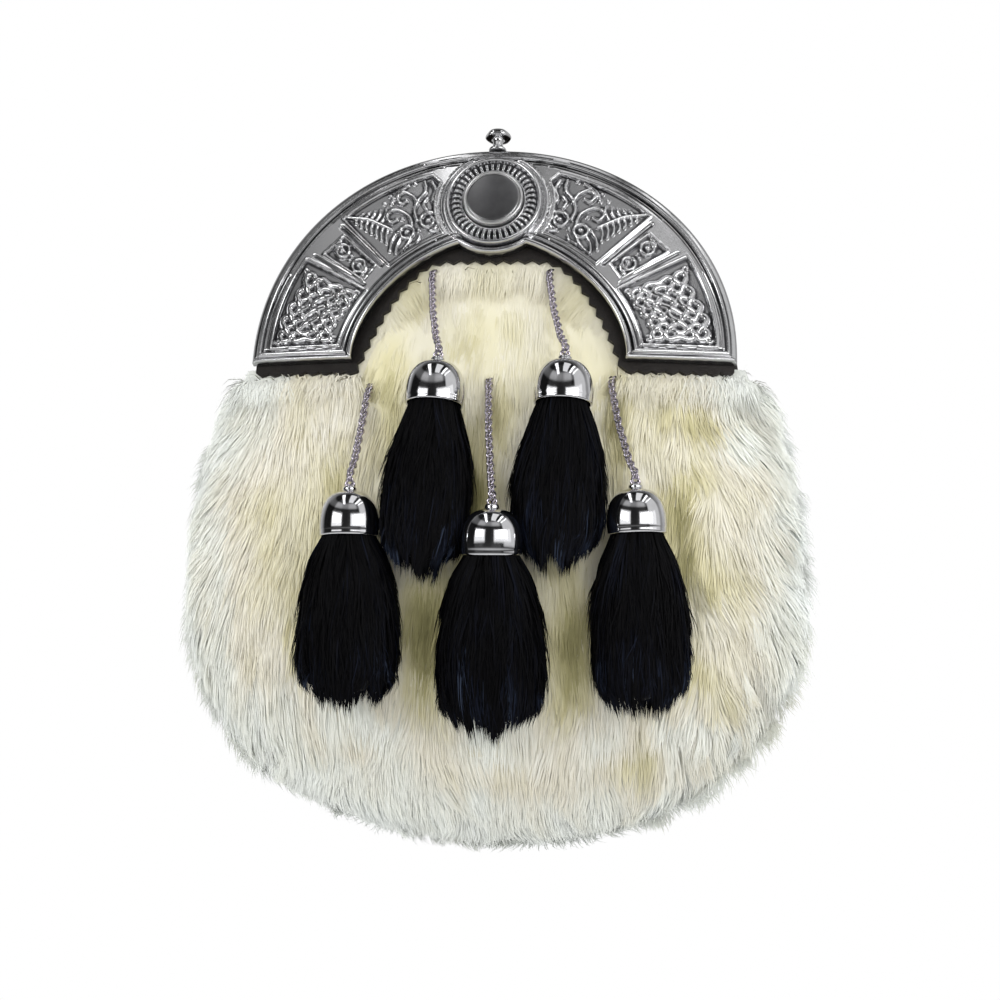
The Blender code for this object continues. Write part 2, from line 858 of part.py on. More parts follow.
def make_loop(side, coll, mat):
    """A strap bent out from the back panel and sewn to it above and below."""
    near = BACK_Y + GAP
    far = near + LOOP_TUNNEL_D
    t = LOOP_STRAP
    top, low = LOOP_HEIGHT / 2, LOOP_TUNNEL_H / 2
    half = [
        # distance from the panel's back, height
        (near, top),
        (near, low + 1.6),
        (near + 2.0, low + 0.3),
        (far - 2.0, low - 0.8),
        (far, low - 2.6),
    ]
    outside = [
        (near + t, top),
        (near + t, low + 2.6),
        (near + t + 1.6, low + 1.5),
        (far - 0.6, low + 0.6),
        (far + t, low - 2.2),
    ]
    outline = half + [(y, -z) for y, z in half[::-1]]
    outline += [(y, -z) for y, z in outside] + outside[::-1]
    curve = bpy.data.curves.new("belt_loop_" + side, "CURVE")
    curve.dimensions = "2D"
    curve.fill_mode = "BOTH"
    curve.extrude = LOOP_WIDTH / 2 * MM
    spline = curve.splines.new("POLY")
    spline.points.add(len(outline) - 1)
    for point, (y, z) in zip(spline.points, outline):
        point.co = (y * MM, z * MM, 0.0, 1.0)
    spline.use_cyclic_u = True
    obj = bpy.data.objects.new("belt_loop_" + side, curve)
    curve.materials.append(mat)
    coll.objects.link(obj)
    x = LOOP_X if side == "right" else -LOOP_X
    # the curve's x runs back, its y runs up and its thickness runs across
    turn = Matrix(((0, 0, 1, 0), (1, 0, 0, 0), (0, 1, 0, 0), (0, 0, 0, 1)))
    obj.matrix_world = Matrix.Translation(world(x, 0.0, STRAP_Z)) @ turn
    return obj


# ---------------------------------------------------------------- assembly

def main():
    for obj in list(bpy.data.objects):
        bpy.data.objects.remove(obj)
    parts = new_collection("sporran_pouch")
    cutters = new_collection("cutters")

    chrome = material("chrome", (0.62, 0.62, 0.63), 0.12, 1.0)
    chain_metal = material("chain_metal", (0.58, 0.57, 0.60), 0.28, 1.0)
    white_fur = material("white_fur", (0.80, 0.77, 0.62), 0.9)
    black_fur = material("black_fur", (0.008, 0.008, 0.014), 0.75)
    leather = material("leather", (0.022, 0.017, 0.015), 0.5)

    bag, bag_cutter = make_bag(parts, cutters, leather)
    fur = make_fur(parts, white_fur)
    boolean(fur, bag_cutter, "DIFFERENCE")
    make_cantle(parts, cutters, chrome)
    make_boss(parts, chrome)
    make_knob(parts, chrome)
    make_backing(parts, leather)

    for name, x, y, z, tilt, side, length, half in TASSELS:
        route = chain_route(name)
        tube("chain_" + name, route, CHAIN_R, parts, chain_metal)
        # the hole in the fur that the chain comes out of
        start = Vector(route[0])
        run = (Vector(route[1]) - start).normalized()
        hole = [tuple(start - run * 3.0)] + route[:4]
        hole = tube("hole_" + name, hole, HOLE_R, cutters, None, 1)
        hole = realised(hole, cutters)
        hide_cutter(hole)
        boolean(fur, hole, "DIFFERENCE", own=True)

        place = (
            Matrix.Translation(world(x, y, z))
            @ Matrix.Rotation(math.radians(side), 4, "Y")
            @ Matrix.Rotation(math.radians(tilt), 4, "X")
        )
        bell = turned("bell_" + name, BELL_OUTLINE, parts, chrome, 20)
        bell.matrix_world = place
        tassel = make_tassel("tassel_" + name, length, half, parts, black_fur)
        tassel.matrix_world = place

    make_loop("left", parts, leather)
    make_loop("right", parts, leather)


main()
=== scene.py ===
"""Looks of the sporran pouch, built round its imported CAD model.

Lengths in this file are in millimetres in the bag frame (x right, y back,
z up, zero on the leaning plate's face between its feet) until to_world()
turns them into metres from the waist strap.
Plate frame: u right, v up the leaning plate, w out of its face.
"""

import json
import math

import bmesh
import bpy
import numpy as np
from mathutils import Matrix, Vector, kdtree

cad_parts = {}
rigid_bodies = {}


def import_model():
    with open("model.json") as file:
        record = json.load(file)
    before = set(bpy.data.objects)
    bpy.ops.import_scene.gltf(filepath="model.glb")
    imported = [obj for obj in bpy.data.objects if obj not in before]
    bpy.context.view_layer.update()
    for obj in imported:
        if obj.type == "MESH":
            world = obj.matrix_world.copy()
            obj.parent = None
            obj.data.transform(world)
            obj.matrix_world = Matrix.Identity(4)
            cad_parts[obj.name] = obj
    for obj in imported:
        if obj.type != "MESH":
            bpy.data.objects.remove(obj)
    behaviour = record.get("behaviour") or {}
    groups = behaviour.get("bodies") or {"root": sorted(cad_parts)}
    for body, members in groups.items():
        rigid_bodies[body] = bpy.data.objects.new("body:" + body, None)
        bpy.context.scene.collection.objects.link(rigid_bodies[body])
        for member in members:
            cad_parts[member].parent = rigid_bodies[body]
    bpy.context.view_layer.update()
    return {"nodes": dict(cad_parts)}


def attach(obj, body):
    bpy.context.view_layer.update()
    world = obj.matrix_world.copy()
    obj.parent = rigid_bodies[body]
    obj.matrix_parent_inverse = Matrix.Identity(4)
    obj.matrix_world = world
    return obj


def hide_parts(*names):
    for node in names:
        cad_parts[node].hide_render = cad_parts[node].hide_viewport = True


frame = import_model()
NODES = frame["nodes"]

MM = 0.001
STRAP_Y, STRAP_Z = 42.0, 24.0
LEAN = math.radians(18.0)
BOW = 15.5
HALF_WIDTH = 76.0
ARCH_HEIGHT = 70.5
ARCH_POWER = 2.08
INNER_HALF_WIDTH = 42.5
INNER_HEIGHT = 39.5
INNER_POWER = 1.75
BOSS_V = 51.9
LOBE_R = 17.9
PLATE_BACK = -2.2
FOOT_V = -1.0
RING_R = 15.1
BACKING_FACE = -2.7
BACKING_BACK = -4.2
BACK_Y = 38.0
PANEL_FACE = (0.7 - BACKING_BACK) / math.cos(LEAN)
GAP = 0.4
CHAIN_R = 1.4
TASSEL_DEPTH = 0.66

PANEL_PROFILE = (
    (68.0, 68.0 * math.tan(LEAN) + PANEL_FACE),
    (34.0, 34.0 * math.tan(LEAN) + PANEL_FACE),
    (0.0, PANEL_FACE),
    (-20.0, -1.2),
    (-40.0, -5.8),
    (-60.0, -8.6),
    (-80.0, -9.6),
    (-100.0, -8.2),
    (-120.0, -3.0),
    (-135.0, 5.5),
    (-150.0, 17.0),
)
SWEEP_PROFILE = (
    (68.0, BOW),
    (0.0, BOW),
    (-60.0, 16.0),
    (-100.0, 17.0),
    (-150.0, 19.0),
)
FUR_PROFILE = (
    (30.0, 4.4),
    (10.0, 6.5),
    (0.0, 8.0),
    (-20.0, 10.0),
    (-60.0, 10.5),
    (-100.0, 11.0),
    (-150.0, 11.0),
)
PINKED_LINE = (
    (41.4, -3.4),
    (39.4, 2.0),
    (34.4, 13.6),
    (27.0, 25.4),
    (19.4, 32.2),
    (9.5, 33.2),
    (0.0, 33.0),
)
TASSELS = (
    # name          x      y      z     tilt  side  length  half
    ("upper_left", -12.0, -19.0, -4.2, -10.0, 2.4, 52.0, 12.9),
    ("upper_right", 26.0, -18.0, -3.8, -10.0, 0.8, 50.0, 13.2),
    ("lower_left", -36.7, -26.4, -43.6, -2.4, -0.5, 51.0, 16.0),
    ("centre", 7.0, -36.0, -49.2, 3.0, 0.0, 53.0, 16.6),
    ("lower_right", 47.8, -23.4, -42.4, -2.4, -2.5, 53.0, 15.2),
)
# Where the links come into view, 2 to 4 mm above the CAD's tubes.
CHAIN_EXITS = (
    ("upper_left", -18.2, 27.6),
    ("upper_right", 18.4, 27.6),
    ("lower_left", -35.0, -8.0),
    ("centre", 1.9, -5.8),
    ("lower_right", 38.7, -6.8),
)
# Shape of the hanging hair: share of the length, half-width of an upper and
# of a lower tassel. It stays blunt where the CAD's smooth solid closes.
TASSEL_FORM = (
    (0.04, 0.66, 0.58),
    (0.14, 0.78, 0.72),
    (0.30, 0.93, 0.85),
    (0.50, 1.00, 0.91),
    (0.70, 0.97, 0.90),
    (0.84, 0.85, 0.83),
    (0.94, 0.69, 0.70),
    (1.00, 0.55, 0.58),
)


# ---------------------------------------------------------------- places

def to_world(p):
    p = np.asarray(p, float)
    return (p + np.array([0.0, -STRAP_Y, -STRAP_Z])) * MM


def to_bag(p):
    return np.asarray(p, float) / MM + np.array([0.0, STRAP_Y, STRAP_Z])


def plate(u, v, w):
    """Plate frame to bag frame, as an array of points."""
    u, v, w = np.broadcast_arrays(*(np.asarray(a, float) for a in (u, v, w)))
    return np.stack(
        [
            u,
            v * math.sin(LEAN) - w * math.cos(LEAN) + BOW * (u / HALF_WIDTH) ** 2,
            v * math.cos(LEAN) + w * math.sin(LEAN),
        ],
        -1,
    )


def unplate(p):
    """Bag frame to plate frame: u, v, w."""
    u = p[..., 0]
    y = p[..., 1] - BOW * (u / HALF_WIDTH) ** 2
    z = p[..., 2]
    return (
        u,
        y * math.sin(LEAN) + z * math.cos(LEAN),
        z * math.sin(LEAN) - y * math.cos(LEAN),
    )


def along(table, at):
    """Smooth value of a two-column table, for a number or an array."""
    rows = sorted(table)
    xs = np.array([r[0] for r in rows])
    ys = np.array([r[1] for r in rows])
    slopes = np.empty(len(xs))
    slopes[1:-1] = (ys[2:] - ys[:-2]) / (xs[2:] - xs[:-2])
    slopes[0] = (ys[1] - ys[0]) / (xs[1] - xs[0])
    slopes[-1] = (ys[-1] - ys[-2]) / (xs[-1] - xs[-2])
    at = np.clip(np.asarray(at, float), xs[0], xs[-1])
    i = np.clip(np.searchsorted(xs, at, side="right") - 1, 0, len(xs) - 2)
    d = xs[i + 1] - xs[i]
    t = (at - xs[i]) / d
    return (
        (2 * t**3 - 3 * t**2 + 1) * ys[i]
        + (t**3 - 2 * t**2 + t) * slopes[i] * d
        + (3 * t**2 - 2 * t**3) * ys[i + 1]
        + (t**3 - t**2) * slopes[i + 1] * d
    )


def panel_y(x, z):
    return along(PANEL_PROFILE, z) + along(SWEEP_PROFILE, z) * (np.asarray(x) / 76.0) ** 2


def fur_y(x, z):
    return panel_y(x, z) - along(FUR_PROFILE, z)


def superellipse(a, b, power, angle):
    c, s = np.abs(np.cos(angle)) / a, np.abs(np.sin(angle)) / b
    return (c**power + s**power) ** (-1.0 / power)


def outer_reach(angle):
    return superellipse(HALF_WIDTH, ARCH_HEIGHT, ARCH_POWER, angle)


def inner_reach(angle):
    angle = np.asarray(angle, float)
    reach = superellipse(INNER_HALF_WIDTH, INNER_HEIGHT, INNER_POWER, angle)
    aside = BOSS_V * np.cos(angle)
    inside = np.sqrt(np.maximum(LOBE_R**2 - aside**2, 0.0))
    lobe = BOSS_V * np.sin(angle) - inside
    return np.where(np.abs(aside) < LOBE_R, np.minimum(reach, lobe), reach)


def spline(points, per=8, closed=False):
    """Points on a smooth curve through the given ones."""
    pts = np.asarray(points, float)
    n = len(pts)
    out = []
    spans = n if closed else n - 1
    for i in range(spans):
        b, c = pts[i], pts[(i + 1) % n]
        a = pts[i - 1] if (i or closed) else 2 * b - c
        d = pts[(i + 2) % n] if (closed or i + 2 < n) else 2 * c - b
        t = (np.arange(per) / per)[:, None]
        out.append(
            0.5
            * (
                2 * b
                + (c - a) * t
                + (2 * a - 5 * b + 4 * c - d) * t * t
                + (3 * b - a - 3 * c + d) * t**3
            )
        )
    out = np.concatenate(out)
    end = pts[:1] if closed else pts[-1:]
    return np.concatenate([out, end])


def even(points, step):
    """The same line walked in equal steps."""
    p = np.asarray(points, float)
    reach = np.concatenate([[0], np.cumsum(np.linalg.norm(np.diff(p, axis=0), axis=1))])
    count = max(2, int(round(reach[-1] / step)))
    at = np.linspace(0, reach[-1], count + 1)
    return np.stack([np.interp(at, reach, p[:, k]) for k in range(p.shape[1])], -1)


def smoothstep(a, b, x):
    t = np.clip((np.asarray(x, float) - a) / (b - a), 0.0, 1.0)
    return t * t * (3 - 2 * t)


def unit(v):
    return v / np.maximum(np.linalg.norm(v, axis=-1, keepdims=True), 1e-9)


class Waves:
    """Smooth pattern from a few sines, the same on every run."""

    def __init__(self, seed, size, dims=2, count=7):
        rng = np.random.default_rng(seed)
        k = rng.normal(size=(count, dims))
        k /= np.linalg.norm(k, axis=1, keepdims=True)
        self.k = k * rng.uniform(0.6, 1.7, (count, 1)) * 2 * math.pi / size
        self.ph = rng.uniform(0, 2 * math.pi, count)
        self.count = count

    def __call__(self, *coords):
        p = np.stack(coords, -1)
        return np.sin(p @ self.k.T + self.ph).sum(-1) / math.sqrt(self.count / 2)


# ---------------------------------------------------------------- meshes

def make_mesh(name, co, tris=None, quads=None, smooth=True):
    """A mesh from bag frame points and index arrays."""
    me = bpy.data.meshes.new(name)
    co = to_world(co)
    parts, starts, at = [], [], 0
    for faces, k in ((tris, 3), (quads, 4)):
        if faces is not None and len(faces):
            faces = np.asarray(faces, np.int32)
            parts.append(faces.ravel())
            starts.append(at + np.arange(len(faces), dtype=np.int32) * k)
            at += faces.size
    loops, starts = np.concatenate(parts), np.concatenate(starts)
    me.vertices.add(len(co))
    me.vertices.foreach_set("co", co.astype(np.float32).ravel())
    me.loops.add(len(loops))
    me.loops.foreach_set("vertex_index", loops)
    me.polygons.add(len(starts))
    me.polygons.foreach_set("loop_start", starts)
    me.update(calc_edges=True)
    me.validate()
    if smooth:
        me.shade_smooth()
    return me


def piece(name, me, material, replaces=()):
    obj = bpy.data.objects.new(name, me)
    bpy.context.scene.collection.objects.link(obj)
    me.materials.clear()
    me.materials.append(material)
    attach(obj, "root")
    if replaces:
        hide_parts(*replaces)
    return obj


def grid(rows, cols, wrap_rows=False, wrap_cols=False, first=0):
    """Quads of a grid of rows x cols points."""
    r = np.arange(rows if wrap_rows else rows - 1)
    c = np.arange(cols if wrap_cols else cols - 1)
    r, c = np.meshgrid(r, c, indexing="ij")
    r, c = r.ravel(), c.ravel()
    r1, c1 = (r + 1) % rows, (c + 1) % cols
    return first + np.stack([r * cols + c, r * cols + c1, r1 * cols + c1, r1 * cols + c], -1)


def turned(outline, steps):
    """Points and faces of a turned solid, its outline from top to bottom as
    radius and height, both ends on the axis."""
    outline = np.asarray(outline, float)
    body = outline[1:-1]
    a = np.arange(steps) * 2 * math.pi / steps
    co = np.stack(
        [
            body[:, None, 0] * np.cos(a),
            body[:, None, 0] * np.sin(a),
            np.broadcast_to(body[:, None, 1], (len(body), steps)),
        ],
        -1,
    ).reshape(-1, 3)
    quads = grid(len(body), steps, wrap_cols=True)[:, ::-1]
    top, low = len(co), len(co) + 1
    co = np.concatenate([co, [[0, 0, outline[0, 1]], [0, 0, outline[-1, 1]]]])
    i = np.arange(steps)
    j = (i + 1) % steps
    last = (len(body) - 1) * steps
    tris = np.concatenate(
        [
            np.stack([np.full(steps, top), i, j], -1),
            np.stack([np.full(steps, low), last + j, last + i], -1),
        ]
    )
    return co, tris, quads


def tassel_matrix(row):
    """Turn and place of a tassel and its bell in the bag frame."""
    _, x, y, z, tilt, side, _, _ = row
    turn = Matrix.Rotation(math.radians(side), 3, "Y") @ Matrix.Rotation(
        math.radians(tilt), 3, "X"
    )
    return np.array(turn), np.array([x, y, z])


def tubes(lines, radius, sides=6, closed=False):
    """Round threads along lines, as one set of points and faces. A line's
    radius may change along it."""
    co, quads, tris, first = [], [], [], 0
    ring = np.arange(sides) * 2 * math.pi / sides
    for line in lines:
        p = np.asarray(line, float)
        n = len(p)
        if closed:
            run = unit(np.roll(p, -1, 0) - np.roll(p, 1, 0))
        else:
            run = unit(np.gradient(p, axis=0))
        ref = np.array([0.31, 0.93, 0.17])
        side = unit(np.cross(run, ref))
        for k in range(1, n):  # carried along, so the tube doesn't twist
            s = side[k - 1] - run[k] * (side[k - 1] @ run[k])
            side[k] = s / max(np.linalg.norm(s), 1e-9)
        up = np.cross(run, side)
        r = np.broadcast_to(np.asarray(radius, float), (n,))[:, None, None]
        co.append(
            (
                p[:, None]
                + r
                * (
                    side[:, None] * np.cos(ring)[None, :, None]
                    + up[:, None] * np.sin(ring)[None, :, None]
                )
            ).reshape(-1, 3)
        )
        quads.append(grid(n, sides, wrap_rows=closed, wrap_cols=True, first=first)[:, ::-1])
        if not closed:
            i = np.arange(1, sides - 1)
            tris.append(np.stack([np.full(sides - 2, first), first + i, first + i + 1], -1))
            low = first + (n - 1) * sides
            tris.append(np.stack([np.full(sides - 2, low), low + i + 1, low + i], -1))
        first += n * sides
    return (
        np.concatenate(co),
        np.concatenate(tris) if tris else None,
        np.concatenate(quads),
    )


# ---------------------------------------------------------------- materials

def material(name):
    made = bpy.data.materials.new(name)
    made.use_nodes = True
    tree = made.node_tree
    return made, tree, tree.nodes["Principled BSDF"]


def node(tree, kind, **values):
    made = tree.nodes.new("ShaderNode" + kind)
    for key, value in values.items():
        if key in made.inputs.keys():
            made.inputs[key].default_value = value
        else:
            setattr(made, key, value)
    return made


def ramp(tree, stops, source, interpolation="LINEAR"):
    made = tree.nodes.new("ShaderNodeValToRGB")
    line = made.color_ramp
    line.interpolation = interpolation
    while len(line.elements) < len(stops):
        line.elements.new(0.5)
    for element, (at, colour) in zip(line.elements, stops):
        element.position = at
        if isinstance(colour, (int, float)):
            colour = (colour, colour, colour)
        element.color = (*colour, 1.0)
    tree.links.new(source, made.inputs["Fac"])
    return made.outputs["Color"]


def mixed(tree, kind, fac, a, b):
    made = tree.nodes.new("ShaderNodeMix")
    made.data_type = "RGBA"
    made.blend_type = kind
    for socket, value in ((made.inputs[0], fac), (made.inputs[6], a), (made.inputs[7], b)):
        if isinstance(value, bpy.types.NodeSocket):
            tree.links.new(value, socket)
        elif isinstance(value, (int, float)):
            socket.default_value = value
        else:
            socket.default_value = (*value, 1.0)
    return made.outputs[2]


def maths(tree, operation, *values):
    made = node(tree, "Math", operation=operation)
    for socket, value in zip(made.inputs, values):
        if isinstance(value, bpy.types.NodeSocket):
            tree.links.new(value, socket)
        else:
            socket.default_value = value
    return made.outputs[0]


def coordinates(tree):
    place = tree.nodes.new("ShaderNodeTexCoord")
    return place.outputs["Object"]


def noise(tree, scale, detail=4.0, rough=0.55, source=None):
    made = node(tree, "TexNoise", Scale=scale, Detail=detail, Roughness=rough)
    tree.links.new(source or coordinates(tree), made.inputs["Vector"])
    return made.outputs["Fac"]


def bump(tree, shader, height, strength, distance):
    made = node(tree, "Bump", Strength=strength, Distance=distance)
    tree.links.new(height, made.inputs["Height"])
    tree.links.new(made.outputs["Normal"], shader.inputs["Normal"])


def chrome_material(name, bright, dark, rough=(0.10, 0.2), attribute=None):
    """Plated metal: fine rub marks, a little dirt and, where an attribute is given, hollows painted dark, partly
    antique blackening and partly painted shade.
    """
    made, tree, shader = material(name)
    shader.inputs["Metallic"].default_value = 1.0
    cloud = noise(tree, 420.0, 5.0, 0.6)
    fine = noise(tree, 3200.0, 3.0, 0.6)
    tone = ramp(tree, ((0.35, [c * 0.93 for c in bright]), (0.65, bright)), cloud)
    if attribute:
        # hollows painted dark by the attribute: painted shade, with antique blackening
        hollow_black_and_shade = node(tree, "Attribute", attribute_name=attribute)
        tone = mixed(tree, "MIX", hollow_black_and_shade.outputs["Fac"], tone, dark)
    tree.links.new(tone, shader.inputs["Base Color"])
    r = ramp(tree, ((0.3, rough[0]), (0.75, rough[1])), cloud)
    tree.links.new(r, shader.inputs["Roughness"])
    bump(tree, shader, fine, 0.06, 0.00005)
    return made


def leather_material(name, base, light, grain=1400.0, strength=0.35):
    made, tree, shader = material(name)
    cell = node(tree, "TexVoronoi", Scale=grain, feature="DISTANCE_TO_EDGE")
    place = coordinates(tree)
    warp = node(tree, "TexNoise", Scale=grain * 0.6, Detail=3.0)
    tree.links.new(place, warp.inputs["Vector"])
    moved = node(tree, "VectorMath", operation="MULTIPLY_ADD")
    tree.links.new(warp.outputs["Color"], moved.inputs[0])
    moved.inputs[1].default_value = (0.0006, 0.0006, 0.0006)
    tree.links.new(place, moved.inputs[2])
    tree.links.new(moved.outputs[0], cell.inputs["Vector"])
    creases = ramp(tree, ((0.0, 0.0), (0.16, 1.0)), cell.outputs["Distance"])
    cloud = noise(tree, 90.0, 5.0, 0.6)
    tone = ramp(tree, ((0.35, base), (0.7, light)), cloud)
    tone = mixed(tree, "MULTIPLY", 0.55, tone, creases)
    tree.links.new(tone, shader.inputs["Base Color"])
    r = ramp(tree, ((0.3, 0.62), (0.7, 0.42)), cloud)
    tree.links.new(r, shader.inputs["Roughness"])
    shader.inputs["Specular IOR Level"].default_value = 0.4
    bump(tree, shader, creases, strength, 0.00018)
    return made


def fur_material(name, palette, shade, rough, gloss, sheen, tint):
    """Hair whose colour depends only on its own tone and how far along it a
    point lies, both kept in the OFBake map."""
    made, tree, shader = material(name)
    uv = node(tree, "UVMap", uv_map="OFBake")
    parts = tree.nodes.new("ShaderNodeSeparateXYZ")
    tree.links.new(uv.outputs["UV"], parts.inputs[0])
    tone = ramp(tree, palette, parts.outputs["X"])
    length = ramp(tree, shade, parts.outputs["Y"])
    colour = mixed(tree, "MULTIPLY", 1.0, tone, length)
    tree.links.new(colour, shader.inputs["Base Color"])
    shader.inputs["Roughness"].default_value = rough
    shader.inputs["Specular IOR Level"].default_value = gloss
    shader.inputs["Sheen Weight"].default_value = sheen
    shader.inputs["Sheen Roughness"].default_value = 0.4
    shader.inputs["Sheen Tint"].default_value = (*tint, 1.0)
    return made


WHITE_PALETTE = (
    (0.00, (0.88, 0.905, 0.885)),   # cool white of the border
    (0.14, (0.86, 0.877, 0.82)),
    (0.26, (0.83, 0.825, 0.74)),
    (0.36, (0.81, 0.775, 0.66)),    # warm white
    (0.48, (0.77, 0.730, 0.56)),    # cream
    (0.62, (0.70, 0.65, 0.41)),     # yellow
    # the ochre and olive end of the palette carries the painted shade round the tassels and between the tufts
    (0.78, (0.48, 0.44, 0.22)),     # ochre
    (0.90, (0.30, 0.275, 0.12)),    # olive
    (1.00, (0.15, 0.14, 0.06)),
)
# darker towards the root: painted shade deep in the coat
WHITE_SHADE = ((0.0, 0.88), (0.3, 0.96), (0.6, 1.0), (1.0, 1.0))
BLACK_PALETTE = (
    (0.0, (0.0010, 0.0010, 0.0012)),
    (0.5, (0.0022, 0.0021, 0.0028)),
    # the navy stops are painted sheen
    (0.72, (0.0042, 0.0050, 0.0095)),
    (0.88, (0.010, 0.014, 0.027)),
    (1.0, (0.035, 0.046, 0.072)),
)
# darker towards the root: painted shade deep in the tassel
BLACK_SHADE = ((0.0, 0.5), (0.4, 0.9), (1.0, 1.0))

CHROME = chrome_material("chrome", (0.70, 0.70, 0.71), (0.10, 0.10, 0.105))
# the cantle's hollows get painted shade, with antique blackening, through the attribute
CANTLE_CHROME = chrome_material(
    "cantle_chrome", (0.66, 0.66, 0.67), (0.055, 0.055, 0.06), (0.14, 0.24), "hollow_black_and_shade"
)
BELL_CHROME = chrome_material("bell_chrome", (0.74, 0.74, 0.76), (0.1, 0.1, 0.1), (0.05, 0.10))
CHAIN_METAL = chrome_material("chain_metal", (0.56, 0.52, 0.58), (0.1, 0.1, 0.1), (0.07, 0.16))
LEATHER = leather_material("leather", (0.008, 0.006, 0.005), (0.018, 0.014, 0.012))
BAG_LEATHER = leather_material("bag_leather", (0.012, 0.009, 0.008), (0.026, 0.020, 0.017), 900.0)
WHITE_FUR = fur_material("white_fur", WHITE_PALETTE, WHITE_SHADE, 0.75, 0.2, 0.25, (1.0, 0.98, 0.92))
BLACK_FUR = fur_material("black_fur", BLACK_PALETTE, BLACK_SHADE, 0.5, 0.06, 0.0, (0.5, 0.6, 1.0))


def boss_material():
    """Polished disc in a bright bevel, told apart by distance from the
    boss's axis. The disc's near-black colour is a painted reflection of the
    dark room it mirrors."""
    made, tree, shader = material("boss_chrome")
    shader.inputs["Metallic"].default_value = 1.0
    uv = node(tree, "UVMap", uv_map="turn")
    parts = tree.nodes.new("ShaderNodeSeparateXYZ")
    tree.links.new(uv.outputs["UV"], parts.inputs[0])
    # painted reflection: the disc near black, the bevel bright
    tone = ramp(
        tree,
        ((0.0, (0.13, 0.13, 0.135)), (0.83, (0.17, 0.17, 0.175)), (0.865, 0.60), (1.0, 0.74)),
        parts.outputs["Y"],
    )
    cloud = noise(tree, 500.0, 4.0)
    worn = ramp(tree, ((0.3, 0.88), (0.7, 1.0)), cloud)
    tree.links.new(mixed(tree, "MULTIPLY", 1.0, tone, worn), shader.inputs["Base Color"])
    r = ramp(tree, ((0.3, 0.30), (0.75, 0.38)), cloud)
    tree.links.new(r, shader.inputs["Roughness"])
    bump(tree, shader, noise(tree, 2600.0, 2.0), 0.04, 0.00005)
    return made


BOSS_CHROME = boss_material()


# ---------------------------------------------------------------- cantle

def nearest(p, line):
    """Distance of each point from a line, and the share along it."""
    best = np.full(len(p), 1e9)
    share = np.zeros(len(p))
    count = len(line) - 1
    for k in range(count):
        a, b = line[k], line[k + 1]
        d = b - a
        t = np.clip(((p - a) @ d) / max(d @ d, 1e-12), 0.0, 1.0)
        q = p - a - t[:, None] * d
        r = q[:, 0] ** 2 + q[:, 1] ** 2
        m = r < best
        best[m] = r[m]
        share[m] = (k + t[m]) / count
    return np.sqrt(best), share


def raise_strand(w, p, line, half, floor, height, lift=None, power=0.5):
    """Raises w to a rounded band along a line. lift is one extra height for
    each of the line's points, for weaving over and under."""
    lo, hi = line.min(0) - half, line.max(0) + half
    near = np.flatnonzero(((p > lo) & (p < hi)).all(1))
    q = p[near]
    top = w[near]
    for k in range(len(line) - 1):
        a, b = line[k], line[k + 1]
        d = b - a
        t = np.clip(((q - a) @ d) / max(d @ d, 1e-12), 0.0, 1.0)
        r = q - a - t[:, None] * d
        s = (r[:, 0] ** 2 + r[:, 1] ** 2) / half**2
        m = s < 1.0
        if m.any():
            up = 0.0 if lift is None else lift[k] + (lift[k + 1] - lift[k]) * t[m]
            top[m] = np.maximum(top[m], floor + up + height * (1.0 - s[m]) ** power)
    w[near] = top


def raise_bead(w, p, at, radius, floor, height):
    r = ((p - np.asarray(at)) ** 2).sum(1) / radius**2
    m = r < 1.0
    w[m] = np.maximum(w[m], floor + height * np.sqrt(1.0 - r[m]))


def inside(p, polygon):
    hit = np.zeros(len(p), bool)
    for a, b in zip(polygon, np.roll(polygon, -1, 0)):
        cross = (a[1] > p[:, 1]) != (b[1] > p[:, 1])
        with np.errstate(divide="ignore", invalid="ignore"):
            x = a[0] + (p[:, 1] - a[1]) / (b[1] - a[1]) * (b[0] - a[0])
        hit ^= cross & (p[:, 0] < x)
    return hit


def bead(d, at, half, height):
    s = ((d - at) / half) ** 2
    return np.where(s < 1.0, height * np.sqrt(np.maximum(1.0 - s, 0.0)), 0.0)


def plait(cells_x, cells_y, walls):
    """Closed strands of an interlace on a lattice, each as points with their
    height over (+1) or under (-1) the strand they cross. walls turn strands
    back at inner crossings: {(i, j): "h" or "v"}."""
    wide, tall = 2 * cells_x, 2 * cells_y

    def turn(i, j, dx, dy):
        if i in (0, wide):
            return -dx, dy, (0.34 if i == 0 else -0.34, 0.0)
        if j in (0, tall):
            return dx, -dy, (0.0, 0.34 if j == 0 else -0.34)
        wall = walls.get((i, j))
        if wall == "v":
            return -dx, dy, (-0.34 * dx, 0.0)
        if wall == "h":
            return dx, -dy, (0.0, -0.34 * dy)
        return dx, dy, None

    seen, strands = set(), []
    for i in range(wide + 1):
        for j in range(tall + 1):
            if (i + j) % 2 == 0:
                continue
            for dx, dy in ((1, 1), (1, -1), (-1, 1), (-1, -1)):
                if not (0 <= i + dx <= wide and 0 <= j + dy <= tall):
                    continue
                x, y, ax, ay = i, j, dx, dy
                if (x, y, ax, ay) in seen:
                    continue
                path = []
                while (x, y, ax, ay) not in seen:
                    nx, ny = x + ax, y + ay
                    seen.add((x, y, ax, ay))
                    seen.add((nx, ny, -ax, -ay))
                    path.append((x + ax / 2, y + ay / 2, 0.0))
                    bx, by, shift = turn(nx, ny, ax, ay)
                    if shift:
                        path.append((nx + shift[0], ny + shift[1], 0.0))
                    else:
                        over = (nx % 2 == 1) == (ax * ay > 0)
                        path.append((nx, ny, 1.0 if over else -1.0))
                    x, y, ax, ay = nx, ny, bx, by
                if len(path) > 3:
                    strands.append(np.array(path))
    return strands


